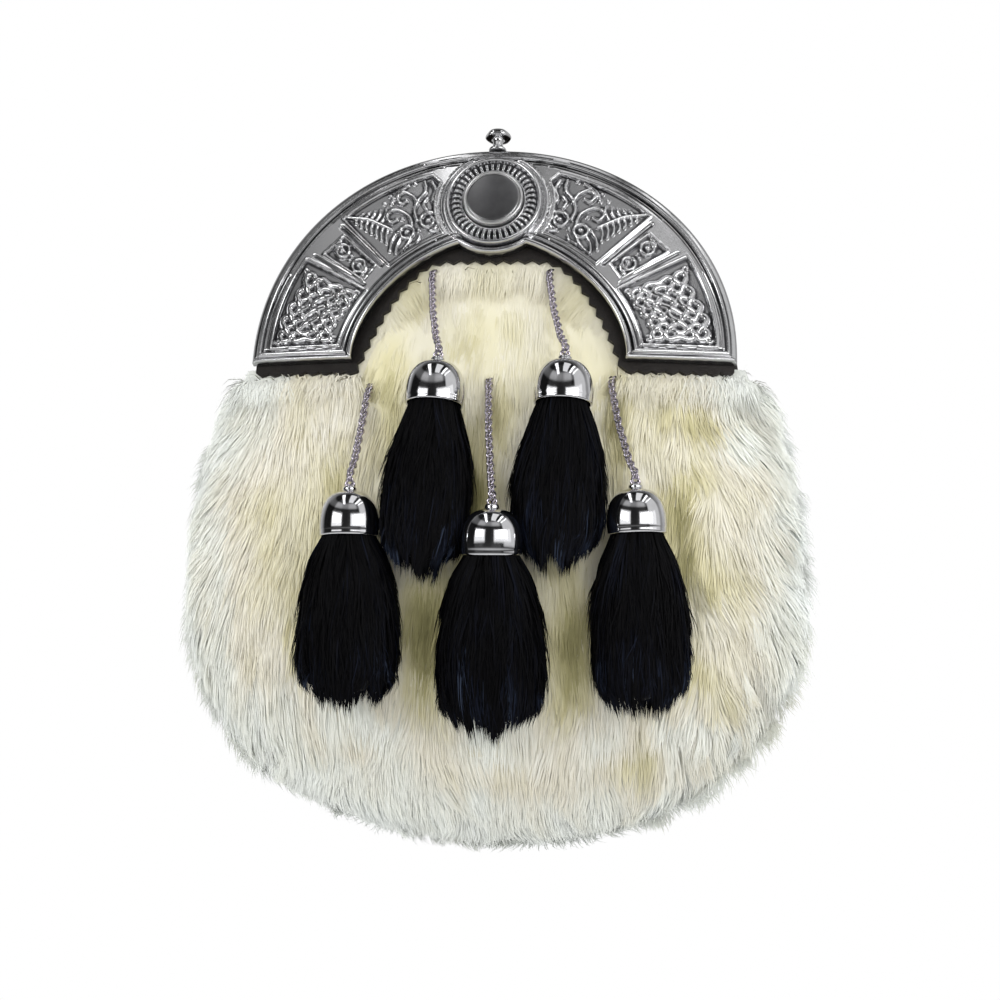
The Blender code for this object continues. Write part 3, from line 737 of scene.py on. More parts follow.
def knot_place(s, t):
    """Lattice of the lower panel: s from its inner to its outer side, t from
    its foot up."""
    a_in = np.radians(5.6 + (27.6 - 5.6) * t)
    a_out = np.radians(4.1 + (27.9 - 4.1) * t)
    r_in = inner_reach(a_in) + 6.6
    r_out = outer_reach(a_out) - 7.3
    a = np.stack([r_in * np.cos(a_in), r_in * np.sin(a_in)], -1)
    b = np.stack([r_out * np.cos(a_out), r_out * np.sin(a_out)], -1)
    return a + (b - a) * s[..., None]


def curve_points(reach, extra, first, last, count=24):
    """Points along the arch at a distance from its inner or outer edge."""
    a = np.radians(np.linspace(first, last, count))
    r = reach(a) + extra
    return np.stack([r * np.cos(a), r * np.sin(a)], -1)


def ring_points(radius, first, last, count=24):
    a = np.radians(np.linspace(first, last, count))
    return np.stack([radius * np.cos(a), BOSS_V + radius * np.sin(a)], -1)


def spiral(centre, r0, r1, start, turns, count=40):
    t = np.linspace(0, 1, count)
    a = math.radians(start) + turns * 2 * math.pi * t
    r = r0 + (r1 - r0) * t
    return np.stack([centre[0] + r * np.cos(a), centre[1] + r * np.sin(a)], -1)


def relief(u, v):
    """Height of the plate's face over the plate's zero, for the right half,
    and how far each point lies from the boss's middle."""
    p = np.stack([u, v], -1)
    a = np.linspace(0, math.pi / 2, 260)
    inner = np.stack([inner_reach(a) * np.cos(a), inner_reach(a) * np.sin(a)], -1)
    inner = np.concatenate([[[INNER_HALF_WIDTH, -3.0]], inner, [[-0.4, inner[-1, 1]]]])
    outer = np.stack([outer_reach(a) * np.cos(a), outer_reach(a) * np.sin(a)], -1)
    outer = np.concatenate([[[HALF_WIDTH, -3.0]], outer, [[-0.4, outer[-1, 1]]]])
    d_in, _ = nearest(p, inner)
    d_out, _ = nearest(p, outer)
    foot = v - FOOT_V
    boss = np.hypot(u, v - BOSS_V)

    flat = 0.62 + 0.12 * np.cos(np.clip((d_out - 16.0) / 16.0, -1, 1) * math.pi / 2)

    def rim_in(d):
        h = flat.copy()
        h = np.where(d < 4.15, 0.30, h)
        h = np.where(d < 2.55, -0.35, h)
        h = np.where(d < 2.0, 0.2 + bead(d, 1.0, 1.02, 1.75), h)
        h = np.maximum(h, np.where((d > 2.5) & (d < 3.8), 0.25 + bead(d, 3.15, 0.58, 1.15), -9))
        return h

    def rim_out(d):
        h = flat.copy()
        h = np.where(d < 4.4, 0.30, h)
        h = np.maximum(h, np.where((d > 3.5) & (d < 4.4), 0.25 + bead(d, 3.95, 0.34, 0.62), -9))
        h = np.where(d < 3.35, 0.05, h)
        h = np.maximum(h, np.where(d < 3.3, 0.1 + bead(d, 2.45, 0.62, 1.35), -9))
        edge = -0.5 + 1.35 * np.sqrt(np.clip(1 - ((1.75 - d) / 1.9) ** 2, 0, 1))
        return np.where(d < 1.75, edge, h)

    def rim_foot(d):
        h = flat.copy()
        h = np.where(d < 3.9, 0.25, h)
        h = np.maximum(h, np.where(d < 3.6, 0.2 + bead(d, 2.55, 0.95, 1.35), -9))
        h = np.where(d < 1.45, np.minimum(h, 0.0), h)
        h = np.maximum(h, np.where(d < 1.3, 0.05 + bead(d, 0.62, 0.66, 1.25), -9))
        return h

    w = np.where(d_in < d_out, rim_in(d_in), rim_out(d_out))
    w = np.where((foot < d_in) & (foot < d_out), rim_foot(foot), w)
    # thin collar round the ring, which the inner rim carries on below it
    side = (v > BOSS_V - 13.0) & (d_in > 4.1) & (d_out > 3.4)
    collar = 0.35 + bead(boss, 16.75, 0.42, 0.75)
    w = np.where(side & (boss < 17.3) & (boss > 15.2), np.maximum(collar, 0.25), w)
    w = np.where((boss < 15.3) & (d_in > 2.3), 0.15, w)
    # nubs where the lobe meets the arch
    raise_bead(w, p, (12.0, 39.6), 0.95, 0.5, 1.1)

    def panel(polygon, floor=-0.25, ridge=0.42, top=0.75, frame_line=True):
        m = inside(p, polygon)
        dist, _ = nearest(p[m], np.concatenate([polygon, polygon[:1]]))
        w[m] = flat[m] + (floor - flat[m]) * smoothstep(0.15, 0.85, dist)
        if frame_line:
            raise_strand(w, p, np.concatenate([polygon, polygon[:1]]), ridge, 0.45, top)
        return m

    # lower panel
    low = np.concatenate(
        [
            curve_points(inner_reach, 5.2, 4.4, 29.8),
            curve_points(outer_reach, -5.9, 29.9, 3.2),
        ]
    )
    low[0, 1] = low[-1, 1] = 3.7
    knot = panel(low)
    walls = {(3, 4): "v", (5, 6): "v", (4, 9): "h", (2, 3): "h", (6, 3): "h", (3, 8): "v",
             (6, 7): "h", (1, 6): "v", (4, 1): "h"}
    wide, tall = 4, 5
    for path in plait(wide, tall, walls):
        fine = spline(path, 5, closed=True)
        # the lattice bulges in the middle and leans, so it isn't square
        s, t = fine[:, 0] / (2 * wide), fine[:, 1] / (2 * tall)
        s = s + 0.045 * np.sin(2 * math.pi * t) + 0.02 * np.sin(4 * math.pi * s)
        t = t + 0.040 * np.sin(2 * math.pi * s) * np.sin(math.pi * t)
        line = knot_place(0.03 + 0.94 * s, 0.02 + 0.96 * t)
        raise_strand(w, p, line, 1.12, -0.25, 1.15, fine[:, 2] * 0.48, 0.6)
    # curls that fill its corners
    for s, t, start in ((0.04, 0.05, 150), (0.95, 0.05, 20), (0.05, 0.95, 200), (0.95, 0.95, 330)):
        at = knot_place(np.array([s]), np.array([t]))[0]
        raise_strand(w, p, spiral(at, 0.3, 1.35, start, 0.9, 20), 0.46, -0.25, 0.95, power=0.6)
    # studs
    stud = np.array([(54.5, 35.8), (48.3, 41.7), (36.8, 31.3), (40.5, 26.0)])
    panel(stud, floor=-0.2)
    for at, start in (((42.3, 31.4), 200), ((48.2, 36.6), 20)):
        raise_strand(w, p, spiral(at, 2.55, 1.7, start, 1.15), 0.55, -0.2, 1.15)
        raise_bead(w, p, at, 1.05, -0.2, 1.75)
        raise_strand(w, p, spiral(at, 2.6, 3.7, start, 0.16, 10), 0.4, -0.2, 0.9)
    for at in ((38.6, 30.0), (40.8, 27.6), (52.8, 37.4), (49.4, 40.4), (45.6, 33.4), (45.0, 34.8)):
        raise_bead(w, p, at, 0.55, -0.2, 1.0)
    # grooves between the panels, and the ridge beside the fan
    def sink(line, half, depth):
        d, _ = nearest(p, np.asarray(line, float))
        m = d < half
        w[m] -= depth * np.cos(d[m] / half * math.pi / 2) ** 2

    sink([(40.2, 24.3), (57.4, 35.2)], 0.8, 0.7)
    sink([(34.9, 31.0), (48.9, 44.9)], 1.1, 0.85)
    # fan
    fan = np.concatenate(
        [
            curve_points(inner_reach, 5.7, 43.6, 66.5, 14),
            ring_points(18.9, -33.0, 24.0, 12),
            curve_points(outer_reach, -5.7, 72.0, 44.4, 18),
        ]
    )
    panel(fan)
    raise_strand(w, p, np.array([(34.0, 32.3), (48.2, 46.6)]), 0.36, 0.2, 0.7)
    strand = lambda pts, half=0.62, height=1.15, lift=None: raise_strand(  # noqa: E731
        w, p, spline(pts, 6), half, -0.25, height, lift, 0.6
    )
    # eye, and the band that sweeps round it up to the ring
    raise_strand(w, p, spiral((20.7, 46.2), 1.5, 3.7, 130, 1.35), 0.62, -0.25, 1.2, power=0.6)
    raise_bead(w, p, (20.7, 46.2), 0.95, -0.25, 1.6)
    strand([(19.2, 42.6), (17.2, 43.0), (17.3, 46.8), (18.2, 50.6), (19.8, 53.6), (19.0, 57.0), (20.4, 59.9)])
    strand([(24.4, 46.4), (25.4, 49.6), (24.6, 53.2), (22.2, 56.6), (22.6, 60.0)])
    strand([(24.6, 52.6), (26.6, 55.4), (29.6, 56.6), (31.4, 54.6), (30.0, 52.6), (28.2, 53.6)])
    strand([(21.6, 50.4), (22.6, 52.4), (21.4, 54.4)], 0.5, 0.95)
    # smaller circle with its pointed drop
    raise_strand(w, p, spiral((27.4, 42.4), 2.2, 2.2, 0, 1.0), 0.55, -0.25, 1.2, power=0.6)
    raise_bead(w, p, (27.4, 42.4), 0.95, -0.25, 1.5)
    strand([(26.0, 40.4), (27.4, 37.6), (30.3, 34.6), (30.4, 37.8), (29.2, 40.6)], 0.5, 1.0)
    strand([(25.8, 44.2), (26.8, 47.6), (29.4, 49.8), (32.6, 50.4), (34.4, 48.4), (33.0, 46.2), (31.0, 47.0)])
    strand([(30.0, 43.2), (32.0, 40.0), (32.6, 36.0)], 0.5, 1.0)
    strand([(23.2, 41.0), (24.0, 39.0), (26.0, 37.8)], 0.5, 0.9)
    # feather up to the outer tip
    strand([(32.6, 43.6), (36.4, 45.6), (41.0, 47.6), (47.2, 48.4)], 0.6, 1.1)
    for k in range(7):
        x = 33.6 + k * 1.75
        strand([(x, 44.0 + k * 0.72), (x + 0.5, 41.6 + k * 0.95), (x + 0.2, 38.8 + k * 1.25)], 0.42, 0.85)
    for k in range(5):
        x = 36.2 + k * 1.9
        strand([(x, 46.2 + k * 0.45), (x - 1.3, 48.8 + k * 0.2), (x - 1.5, 51.0 - k * 0.35)], 0.42, 0.85)
    strand([(33.0, 52.8), (31.8, 56.2), (28.0, 59.0)], 0.5, 0.95)
    for at in ((17.2, 41.6), (19.6, 62.0), (25.8, 59.6), (33.6, 55.4), (35.4, 53.0), (29.2, 47.2), (23.6, 43.2)):
        raise_bead(w, p, at, 0.6, -0.25, 1.05)

    return w, boss


def blurred(a, reach):
    """Mean over a square of neighbours."""
    out = a
    for axis in (0, 1):
        pad = [(0, 0), (0, 0)]
        pad[axis] = (reach, reach)
        wide = np.pad(out, pad, mode="edge")
        total = 0.0
        for k in range(2 * reach + 1):
            total = total + np.take(wide, np.arange(k, k + a.shape[axis]), axis=axis)
        out = total / (2 * reach + 1)
    return out


def make_cantle():
    """The plate's whole face as one fine net whose edges follow the arch, with
    a skirt and a plain back."""
    corner = math.pi / 2
    for k in range(4000):
        angle = math.radians(45 + 45 * k / 4000)
        full = superellipse(INNER_HALF_WIDTH, INNER_HEIGHT, INNER_POWER, angle)
        if inner_reach(angle) < full - 1e-6:
            corner = angle
            break
    n1 = 256
    angles = np.concatenate(
        [
            np.linspace(0, corner, n1, endpoint=False),
            np.linspace(corner, math.pi / 2, 76),
        ]
    )
    levels = np.linspace(FOOT_V, 0.0, 5)[:-1]
    inner = np.stack([inner_reach(angles) * np.cos(angles), inner_reach(angles) * np.sin(angles)], -1)
    outer = np.stack([outer_reach(angles) * np.cos(angles), outer_reach(angles) * np.sin(angles)], -1)
    inner = np.concatenate([np.stack([np.full(4, INNER_HALF_WIDTH), levels], -1), inner])
    outer = np.concatenate([np.stack([np.full(4, HALF_WIDTH), levels], -1), outer])
    across = 118
    t = np.linspace(0, 1, across)
    # closer lines in the rims
    t = t - 0.035 * np.sin(2 * math.pi * t)
    net = inner[:, None] + (outer - inner)[:, None] * t[None, :, None]
    rows = len(net)
    w, boss = relief(net[..., 0].ravel(), net[..., 1].ravel())
    w, boss = w.reshape(rows, across), boss.reshape(rows, across)
    # a point is painted dark by how far it lies below what is round it: painted shade in the hollows, with
    # antique blackening; all dark under the ring
    level = blurred(w, 3)
    hollow_black_and_shade = smoothstep(0.06, 0.55, level - w) + 0.30 * smoothstep(0.25, -0.2, w)
    hollow_black_and_shade = np.where(boss < 15.4, 1.0, np.clip(hollow_black_and_shade, 0.0, 1.0))
    # the left half is the right half's mirror image
    u = np.concatenate([net[..., 0], -net[-2::-1, :, 0]])
    v = np.concatenate([net[..., 1], net[-2::-1, :, 1]])
    w = np.concatenate([w, w[-2::-1]])
    hollow_black_and_shade = np.concatenate([hollow_black_and_shade, hollow_black_and_shade[-2::-1]])
    rows = len(u)
    face = plate(u, v, w).reshape(-1, 3)
    quads = [grid(rows, across)]
    # back: three lines across
    cols = np.array([0, across // 2, across - 1])
    back = plate(u[:, cols], v[:, cols], np.full((rows, 3), PLATE_BACK)).reshape(-1, 3)
    first = len(face)
    quads.append(grid(rows, 3, first=first)[:, ::-1])
    r = np.arange(rows - 1)
    for col, bcol, flip in ((0, 0, True), (across - 1, 2, False)):
        q = np.stack(
            [r * across + col, (r + 1) * across + col, first + (r + 1) * 3 + bcol, first + r * 3 + bcol],
            -1,
        )
        quads.append(q[:, ::-1] if flip else q)
    tris = []
    for row, flip in ((0, False), (rows - 1, True)):
        top = row * across + np.arange(across)
        low = first + row * 3 + np.arange(3)
        half = across // 2
        fans = []
        for k in range(across - 1):
            anchor = low[0] if k < half // 2 else low[1] if k < half + half // 2 else low[2]
            fans.append((top[k], anchor, top[k + 1]))
        fans.append((low[0], low[1], top[half // 2]))
        fans.append((low[1], low[2], top[half + half // 2]))
        fans = np.array(fans)
        tris.append(fans if not flip else fans[:, ::-1])
    me = make_mesh("cantle_relief", np.concatenate([face, back]), np.concatenate(tris), np.concatenate(quads))
    attribute = me.attributes.new("hollow_black_and_shade", "FLOAT", "POINT")
    attribute.data.foreach_set(
        "value", np.concatenate([hollow_black_and_shade.ravel(), np.zeros(len(back))]).astype(np.float32)
    )
    fix_normals(me)
    return piece("cantle_relief", me, CANTLE_CHROME, ["cantle"])


def fix_normals(me):
    """Turns all faces outwards."""
    bm = bmesh.new()
    bm.from_mesh(me)
    bmesh.ops.recalc_face_normals(bm, faces=bm.faces)
    bm.to_mesh(me)
    bm.free()


def on_plate(co, u, v, w=0.0):
    """Turned points stood on the plate, their axis out of its face."""
    base = plate(u, v, w)
    right = np.array([1.0, 0.0, 0.0])
    up = np.array([0.0, math.sin(LEAN), math.cos(LEAN)])
    out = np.array([0.0, -math.cos(LEAN), math.sin(LEAN)])
    return base + co[:, :1] * right + co[:, 1:2] * up + co[:, 2:3] * out


def make_ring():
    """Ring round the boss: a smooth bead outside, milled bars inside it."""
    bars = 42
    per = 12
    steps = bars * per
    radii = np.concatenate(
        [
            [9.75, 9.8, 9.95, 10.15],
            np.linspace(10.3, 13.35, 12),
            [13.5, 13.62, 13.74],
            14.52 + 0.78 * np.sin(np.linspace(-1.45, 1.45, 11)),
            [15.34, 15.36],
        ]
    )
    a = np.arange(steps) * 2 * math.pi / steps
    wave = np.cos(a * bars)
    rise = np.clip(wave * 1.5 + 0.35, -1.0, 1.0)
    co = []
    for k, r in enumerate(radii):
        if k == 0:
            h = np.full(steps, 0.2)
        elif r <= 10.2:
            h = np.full(steps, 2.35 if k < 3 else 2.05)
        elif r <= 13.4:
            s = (r - 11.83) / 1.55
            dome = max(1 - s**4, 0.0)
            h = 1.25 + (0.55 + 0.62 * rise) * dome
        elif r < 13.74:
            h = np.full(steps, 1.2)
        elif r <= 15.31:
            s = (r - 14.52) / 0.8
            h = np.full(steps, 1.35 + 1.6 * math.sqrt(max(1 - s * s, 0.0)))
        else:
            h = np.full(steps, 0.9 if r < 15.35 else 0.0)
        co.append(np.stack([r * np.cos(a), r * np.sin(a), h], -1))
    rows = len(co)
    co = np.concatenate(co)
    base = np.concatenate(
        [
            np.stack([15.36 * np.cos(a), 15.36 * np.sin(a), np.full(steps, -0.6)], -1),
            np.stack([9.75 * np.cos(a), 9.75 * np.sin(a), np.full(steps, -0.6)], -1),
        ]
    )
    quads = grid(rows + 2, steps, wrap_rows=True, wrap_cols=True)
    co = np.concatenate([co, base])
    # painted shade, with antique blackening, in the low parts between the bars and all through the gap inside
    # the bead
    hollow_black_and_shade = np.zeros(len(co))
    for k, r in enumerate(radii):
        if 10.2 < r < 13.74:
            s = slice(k * steps, (k + 1) * steps)
            hollow_black_and_shade[s] = smoothstep(0.2, -0.8, rise) if r < 13.4 else 1.0
    me = make_mesh("cantle_ring", on_plate(co, 0.0, BOSS_V), None, quads)
    attribute = me.attributes.new("hollow_black_and_shade", "FLOAT", "POINT")
    attribute.data.foreach_set("value", hollow_black_and_shade.astype(np.float32))
    fix_normals(me)
    return piece("cantle_ring", me, CANTLE_CHROME, ["cantle"])


def make_boss():
    outline = [(0.0, 4.75)]
    for k in range(1, 15):  # shallow dome
        r = 8.15 * k / 14
        outline.append((r, 4.75 - 0.55 * (r / 8.15) ** 2.4))
    outline += [(8.24, 4.06), (8.32, 4.02)]
    for k in range(10):  # bright rolled rim
        a = math.pi * (0.90 - 0.82 * k / 9)
        outline.append((8.92 + 0.56 * math.cos(a), 3.85 + 0.72 * math.sin(a)))
    outline += [(9.5, 3.4), (9.5, 1.4), (0.0, 1.4)]
    co, tris, quads = turned(outline, 96)
    radius = np.hypot(co[:, 0], co[:, 1]) / 9.6
    me = make_mesh("boss_disc", on_plate(co, 0.0, BOSS_V), tris, quads)
    loops = np.zeros(len(me.loops), np.int32)
    me.loops.foreach_get("vertex_index", loops)
    layer = me.uv_layers.new(name="turn")
    angle = np.arctan2(co[:, 1], co[:, 0]) / (2 * math.pi) + 0.5
    layer.data.foreach_set("uv", np.stack([angle, radius], -1)[loops].astype(np.float32).ravel())
    fix_normals(me)
    return piece("boss_disc", me, BOSS_CHROME, ["centre_boss"])


def make_knob():
    points = [
        (0.0, 7.45), (1.1, 7.4), (2.2, 7.15), (3.1, 6.7), (3.75, 6.05), (4.05, 5.4), (4.1, 4.9),
        (3.85, 4.55), (3.1, 4.4), (2.2, 4.3), (1.75, 3.9), (1.6, 3.2), (1.6, 2.4), (1.65, 1.7),
        (1.95, 1.25), (2.5, 0.95), (2.75, 0.6), (2.7, 0.1), (2.5, 0.02), (0.0, 0.0),
    ]
    fine = spline(points[:-1], 4)
    fine[:, 0] = np.maximum(fine[:, 0], 0.0)
    fine[0, 0] = 0.0
    outline = [tuple(q) for q in fine] + [points[-1]]
    co, tris, quads = turned(outline, 56)
    # six soft facets round the cap
    a = np.arctan2(co[:, 1], co[:, 0])
    cap = smoothstep(4.2, 4.9, co[:, 2]) * smoothstep(7.4, 6.2, co[:, 2])
    co[:, :2] *= (1 - 0.035 * cap * (1 - np.cos(6 * a)))[:, None]
    c, s = math.cos(-LEAN), math.sin(-LEAN)
    turn = np.array([[1, 0, 0], [0, c, -s], [0, s, c]])
    foot = plate(0.0, ARCH_HEIGHT + 0.35, -0.9)
    me = make_mesh("knob_turned", co @ turn.T + foot, tris, quads)
    fix_normals(me)
    return piece("knob_turned", me, CHROME, ["knob"])


# ---------------------------------------------------------------- bells

def make_bell(row):
    outside = [
        (0.0, 1.15), (1.0, 1.12), (1.7, 0.95), (2.05, 0.45), (2.1, 0.05), (2.3, -0.35), (3.2, -0.62),
        (4.8, -1.2), (6.1, -2.1), (7.15, -3.35), (7.95, -4.8), (8.5, -6.5), (8.82, -8.4), (8.95, -10.2),
        (8.95, -11.7), (8.85, -12.4),
    ]
    rim = [
        (8.84, -12.9), (8.84, -13.3), (8.78, -13.65), (8.62, -13.88), (8.40, -13.94),
        (8.15, -13.8), (8.05, -13.5), (8.0, -12.5), (7.95, -10.2), (7.7, -9.7),
    ]
    fine = spline(outside, 3)
    fine[0, 0] = 0.0
    outline = [tuple(q) for q in fine] + rim + [(0.0, -9.5)]
    co, tris, quads = turned(outline, 72)
    turn, at = tassel_matrix(row)
    name = "bell_cup_" + row[0]
    me = make_mesh(name, co @ turn.T + at, tris, quads)
    fix_normals(me)
    return piece(name, me, BELL_CHROME, ["bell_" + row[0]])


# ---------------------------------------------------------------- chains

def chain_route(name):
    _, x, z = next(row for row in CHAIN_EXITS if row[0] == name)
    row = next(row for row in TASSELS if row[0] == name)
    _, bx, by, bz, tilt, side, _, _ = row
    root = float(panel_y(x, z)) - GAP - CHAIN_R - 0.5
    surface = float(fur_y(x, z - 6.0)) - CHAIN_R - 0.8
    turn, at = tassel_matrix(row)
    up = turn @ np.array([0.0, 0.0, 1.0])
    top = at + up * (1.2 + 0.7)
    points = [
        np.array((x, root, z)),
        np.array((x, (root + surface) / 2, z - 2.4)),
        np.array((x + (top[0] - x) * 0.10, surface, z - 6.0)),
    ]
    for share in (0.35, 0.55, 0.75):
        px = x + (top[0] - x) * share
        pz = (z - 6.0) + (top[2] - z + 6.0) * share
        lying = float(fur_y(px, pz)) - CHAIN_R - 0.9
        taut = surface + (top[1] - surface) * share
        points.append(np.array((px, min(lying, taut), pz)))
    points.append(top + up * 2.5)
    points.append(top)
    return even(spline(points, 24), 0.25)


def make_chain(name, seed):
    """Curb chain: flat twisted oval links, each laid into the next."""
    route = chain_route(name)
    reach = np.concatenate([[0], np.cumsum(np.linalg.norm(np.diff(route, axis=0), axis=1))])
    pitch = 1.62
    count = int(reach[-1] / pitch)
    wire = 0.36
    around, sides = 18, 7
    rng = np.random.default_rng(seed)
    co, quads, tris, first = [], [], [], 0
    t = np.arange(around) * 2 * math.pi / around
    for k in range(count):
        s = (k + 0.5) * reach[-1] / count
        at = np.array([np.interp(s, reach, route[:, i]) for i in range(3)])
        ahead = np.array([np.interp(s + 0.6, reach, route[:, i]) for i in range(3)])
        back = np.array([np.interp(s - 0.6, reach, route[:, i]) for i in range(3)])
        run = unit(ahead - back)
        face = np.array([0.0, -1.0, 0.12])
        face = unit(face - run * (face @ run))
        side = np.cross(run, face)
        roll = math.radians(34.0 if k % 2 else -34.0) + rng.normal() * 0.08
        a = side * math.cos(roll) + face * math.sin(roll)
        b = np.cross(run, a)
        # an oval, twisted along its length as curb links are
        lengthwise, crosswise = 1.36 * np.cos(t), 0.98 * np.sin(t)
        twist = 0.35 * np.sin(2 * t)
        line = at + lengthwise[:, None] * run + crosswise[:, None] * a + twist[:, None] * b * 0.8
        c, _, q = tubes([line], wire, sides, closed=True)
        co.append(c)
        quads.append(q + first)
        first += len(c)
    # the eye on the bell's top
    top = route[-1]
    t = np.arange(24) * 2 * math.pi / 24
    loop = top + np.stack([1.25 * np.cos(t), 0 * t, 1.25 * np.sin(t) - 0.35], -1)
    c, _, q = tubes([loop], 0.4, 8, closed=True)
    co.append(c)
    quads.append(q + first)
    me = make_mesh("chain_links_" + name, np.concatenate(co), None, np.concatenate(quads))
    fix_normals(me)
    return piece("chain_links_" + name, me, CHAIN_METAL, ["chain_" + name])


# ---------------------------------------------------------------- hair

def ribbons(name, pts, side, half, normal, tone, mat, own_share=0.38, lean=0.45, looks=None):
    """Flat tapered hairs. pts: hairs x points x 3; side: the same, across each
    hair; half: half-widths; normal: the way the coat faces at each hair;
    looks: the way the faces look, where that isn't the normal.
    own_share and lean say how much each hair is shaded on its own."""
    hairs, points, _ = pts.shape
    left = pts[:, :-1] - side[:, :-1] * half[..., None]
    right = pts[:, :-1] + side[:, :-1] * half[..., None]
    body = points - 1
    per = 2 * body + 1
    co = np.empty((hairs, per, 3))
    co[:, 0 : 2 * body : 2] = left
    co[:, 1 : 2 * body : 2] = right
    co[:, -1] = pts[:, -1]
    base = (np.arange(hairs) * per)[:, None, None]
    k = np.arange(body - 1) * 2
    quads = (base + np.stack([k, k + 1, k + 3, k + 2], -1)[None]).reshape(-1, 4)
    tris = (base + np.array([[2 * body - 2, 2 * body - 1, 2 * body]])[None]).reshape(-1, 3)
    # the faces look the way the coat does
    run = pts[:, 1] - pts[:, 0]
    out = np.cross(side[:, 0], run)
    flip = (out * (normal if looks is None else looks)).sum(-1) < 0
    q_flip = np.repeat(flip, body - 1)
    quads[q_flip] = quads[q_flip][:, ::-1]
    tris[flip] = tris[flip][:, ::-1]
    me = make_mesh(name, co.reshape(-1, 3), tris, quads)
    # soft shading: the coat's normal, leant to each edge of the hair
    own = unit(np.cross(side, np.gradient(pts, axis=1)))
    own *= np.where(flip, -1.0, 1.0)[:, None, None]
    blend = unit(normal[:, None] * (1 - own_share) + own * own_share)
    n = np.empty((hairs, per, 3))
    n[:, 0 : 2 * body : 2] = blend[:, :-1] - side[:, :-1] * lean
    n[:, 1 : 2 * body : 2] = blend[:, :-1] + side[:, :-1] * lean
    n[:, -1] = blend[:, -1]
    n = unit(n)
    v = np.linspace(0.0, 1.0, points)
    uv = np.empty((hairs, per, 2))
    tone = np.clip(tone, 0.012, 0.988)
    uv[:, 0 : 2 * body : 2, 0] = tone[:, None] - 0.006
    uv[:, 1 : 2 * body : 2, 0] = tone[:, None] + 0.006
    uv[:, -1, 0] = tone
    uv[:, 0 : 2 * body : 2, 1] = v[:-1]
    uv[:, 1 : 2 * body : 2, 1] = v[:-1]
    uv[:, -1, 1] = 1.0
    loops = np.zeros(len(me.loops), np.int32)
    me.loops.foreach_get("vertex_index", loops)
    layer = me.uv_layers.new(name="OFBake")
    layer.data.foreach_set("uv", uv.reshape(-1, 2)[loops].astype(np.float32).ravel())
    me.normals_split_custom_set_from_vertices(n.reshape(-1, 3).astype(np.float32))
    return piece(name, me, mat)


def surface(node_name):
    """Triangles of a CAD node in the bag frame: corners, smooth corner
    normals, face normals and areas in square millimetres."""
    me = NODES[node_name].data
    me.calc_loop_triangles()
    co = np.zeros(len(me.vertices) * 3)
    me.vertices.foreach_get("co", co)
    co = to_bag(co.reshape(-1, 3))
    tri = np.zeros(len(me.loop_triangles) * 3, np.int32)
    me.loop_triangles.foreach_get("vertices", tri)
    tri = tri.reshape(-1, 3)
    _, same = np.unique(np.round(co, 3), axis=0, return_inverse=True)
    same = same.reshape(-1)
    a, b, c = co[tri[:, 0]], co[tri[:, 1]], co[tri[:, 2]]
    n = np.cross(b - a, c - a)
    area = np.linalg.norm(n, axis=1) / 2
    total = np.zeros((same.max() + 1, 3))
    for k in range(3):
        np.add.at(total, same[tri[:, k]], n)
    smooth = unit(total)[same]
    return co, tri, smooth, unit(n), area


def scatter(rng, co, tri, smooth, weight, count):
    """Random places on triangles, with smooth normals."""
    pick = rng.choice(len(tri), count, p=weight / weight.sum())
    s, t = rng.random(count), rng.random(count)
    over = s + t > 1
    s[over], t[over] = 1 - s[over], 1 - t[over]
    r = 1 - s - t
    a, b, c = (tri[pick, k] for k in range(3))
    p = co[a] * r[:, None] + co[b] * s[:, None] + co[c] * t[:, None]
    n = smooth[a] * r[:, None] + smooth[b] * s[:, None] + smooth[c] * t[:, None]
    return p, unit(n)


def group(points, centres):
    """Index of the nearest centre for each point."""
    tree = kdtree.KDTree(len(centres))
    for i, c in enumerate(centres):
        tree.insert(c, i)
    tree.balance()
    return np.array([tree.find(q)[1] for q in points])


def blobs(x, z, rows):
    """Sum of soft patches: middle, half-widths, turn in degrees, strength."""
    out = np.zeros(len(x))
    for cx, cz, rx, rz, turn, strength in rows:
        a = math.radians(turn)
        dx, dz = x - cx, z - cz
        p = (dx * math.cos(a) + dz * math.sin(a)) / rx
        q = (-dx * math.sin(a) + dz * math.cos(a)) / rz
        out += strength * np.exp(-(p * p + q * q))
    return out


# Painted shade in the white fur's tone: patches darker where the bells, tassels and feet cast shadow and in the
# crevices between them; a negative strength makes a patch paler.
SHADOWS = (
    # x      z      rx    rz    turn  strength
    (-27.0, -14.0, 4.5, 12.0, 0, 0.36),    # left of the upper left bell
    (-44.0, -42.0, 5.0, 22.0, 0, 0.34),    # left of the lower left bell
    (-54.0, -78.0, 6.0, 24.0, 0, 0.34),    # left of the lower left tassel
    (-14.5, -84.0, 8.5, 24.0, 0, 0.62),    # between the lower left and centre ones
    (-1.5, -44.0, 4.5, 20.0, 0, 0.67),     # between the upper two
    (-62.0, -16.0, 16.0, 10.0, 0, -0.08),  # pale left shoulder
    (6.0, -16.0, 5.0, 9.0, 0, 0.22),
    (40.5, -20.0, 5.0, 18.0, 0, 0.30),     # right of the upper right bell
    (28.5, -85.0, 8.0, 25.0, 0, 0.50),     # crevice beside the centre tassel
    (60.0, -42.0, 6.0, 20.0, -14, 0.30),   # right of the lower right bell
    (70.0, -64.0, 5.0, 16.0, 24, 0.26),
    (66.0, -90.0, 6.0, 14.0, 30, 0.30),
    (47.0, -118.0, 12.0, 5.0, 0, 0.28),    # under the lower right tassel
    (5.0, -121.0, 13.0, 4.5, 0, 0.28),     # under the centre tassel
    (-36.0, -114.0, 13.0, 4.5, 0, 0.20),   # under the lower left tassel
    (-60.0, -12.0, 12.0, 4.0, 0, 0.04),    # under the feet
    (58.0, -13.0, 14.0, 4.0, 0, 0.20),
)


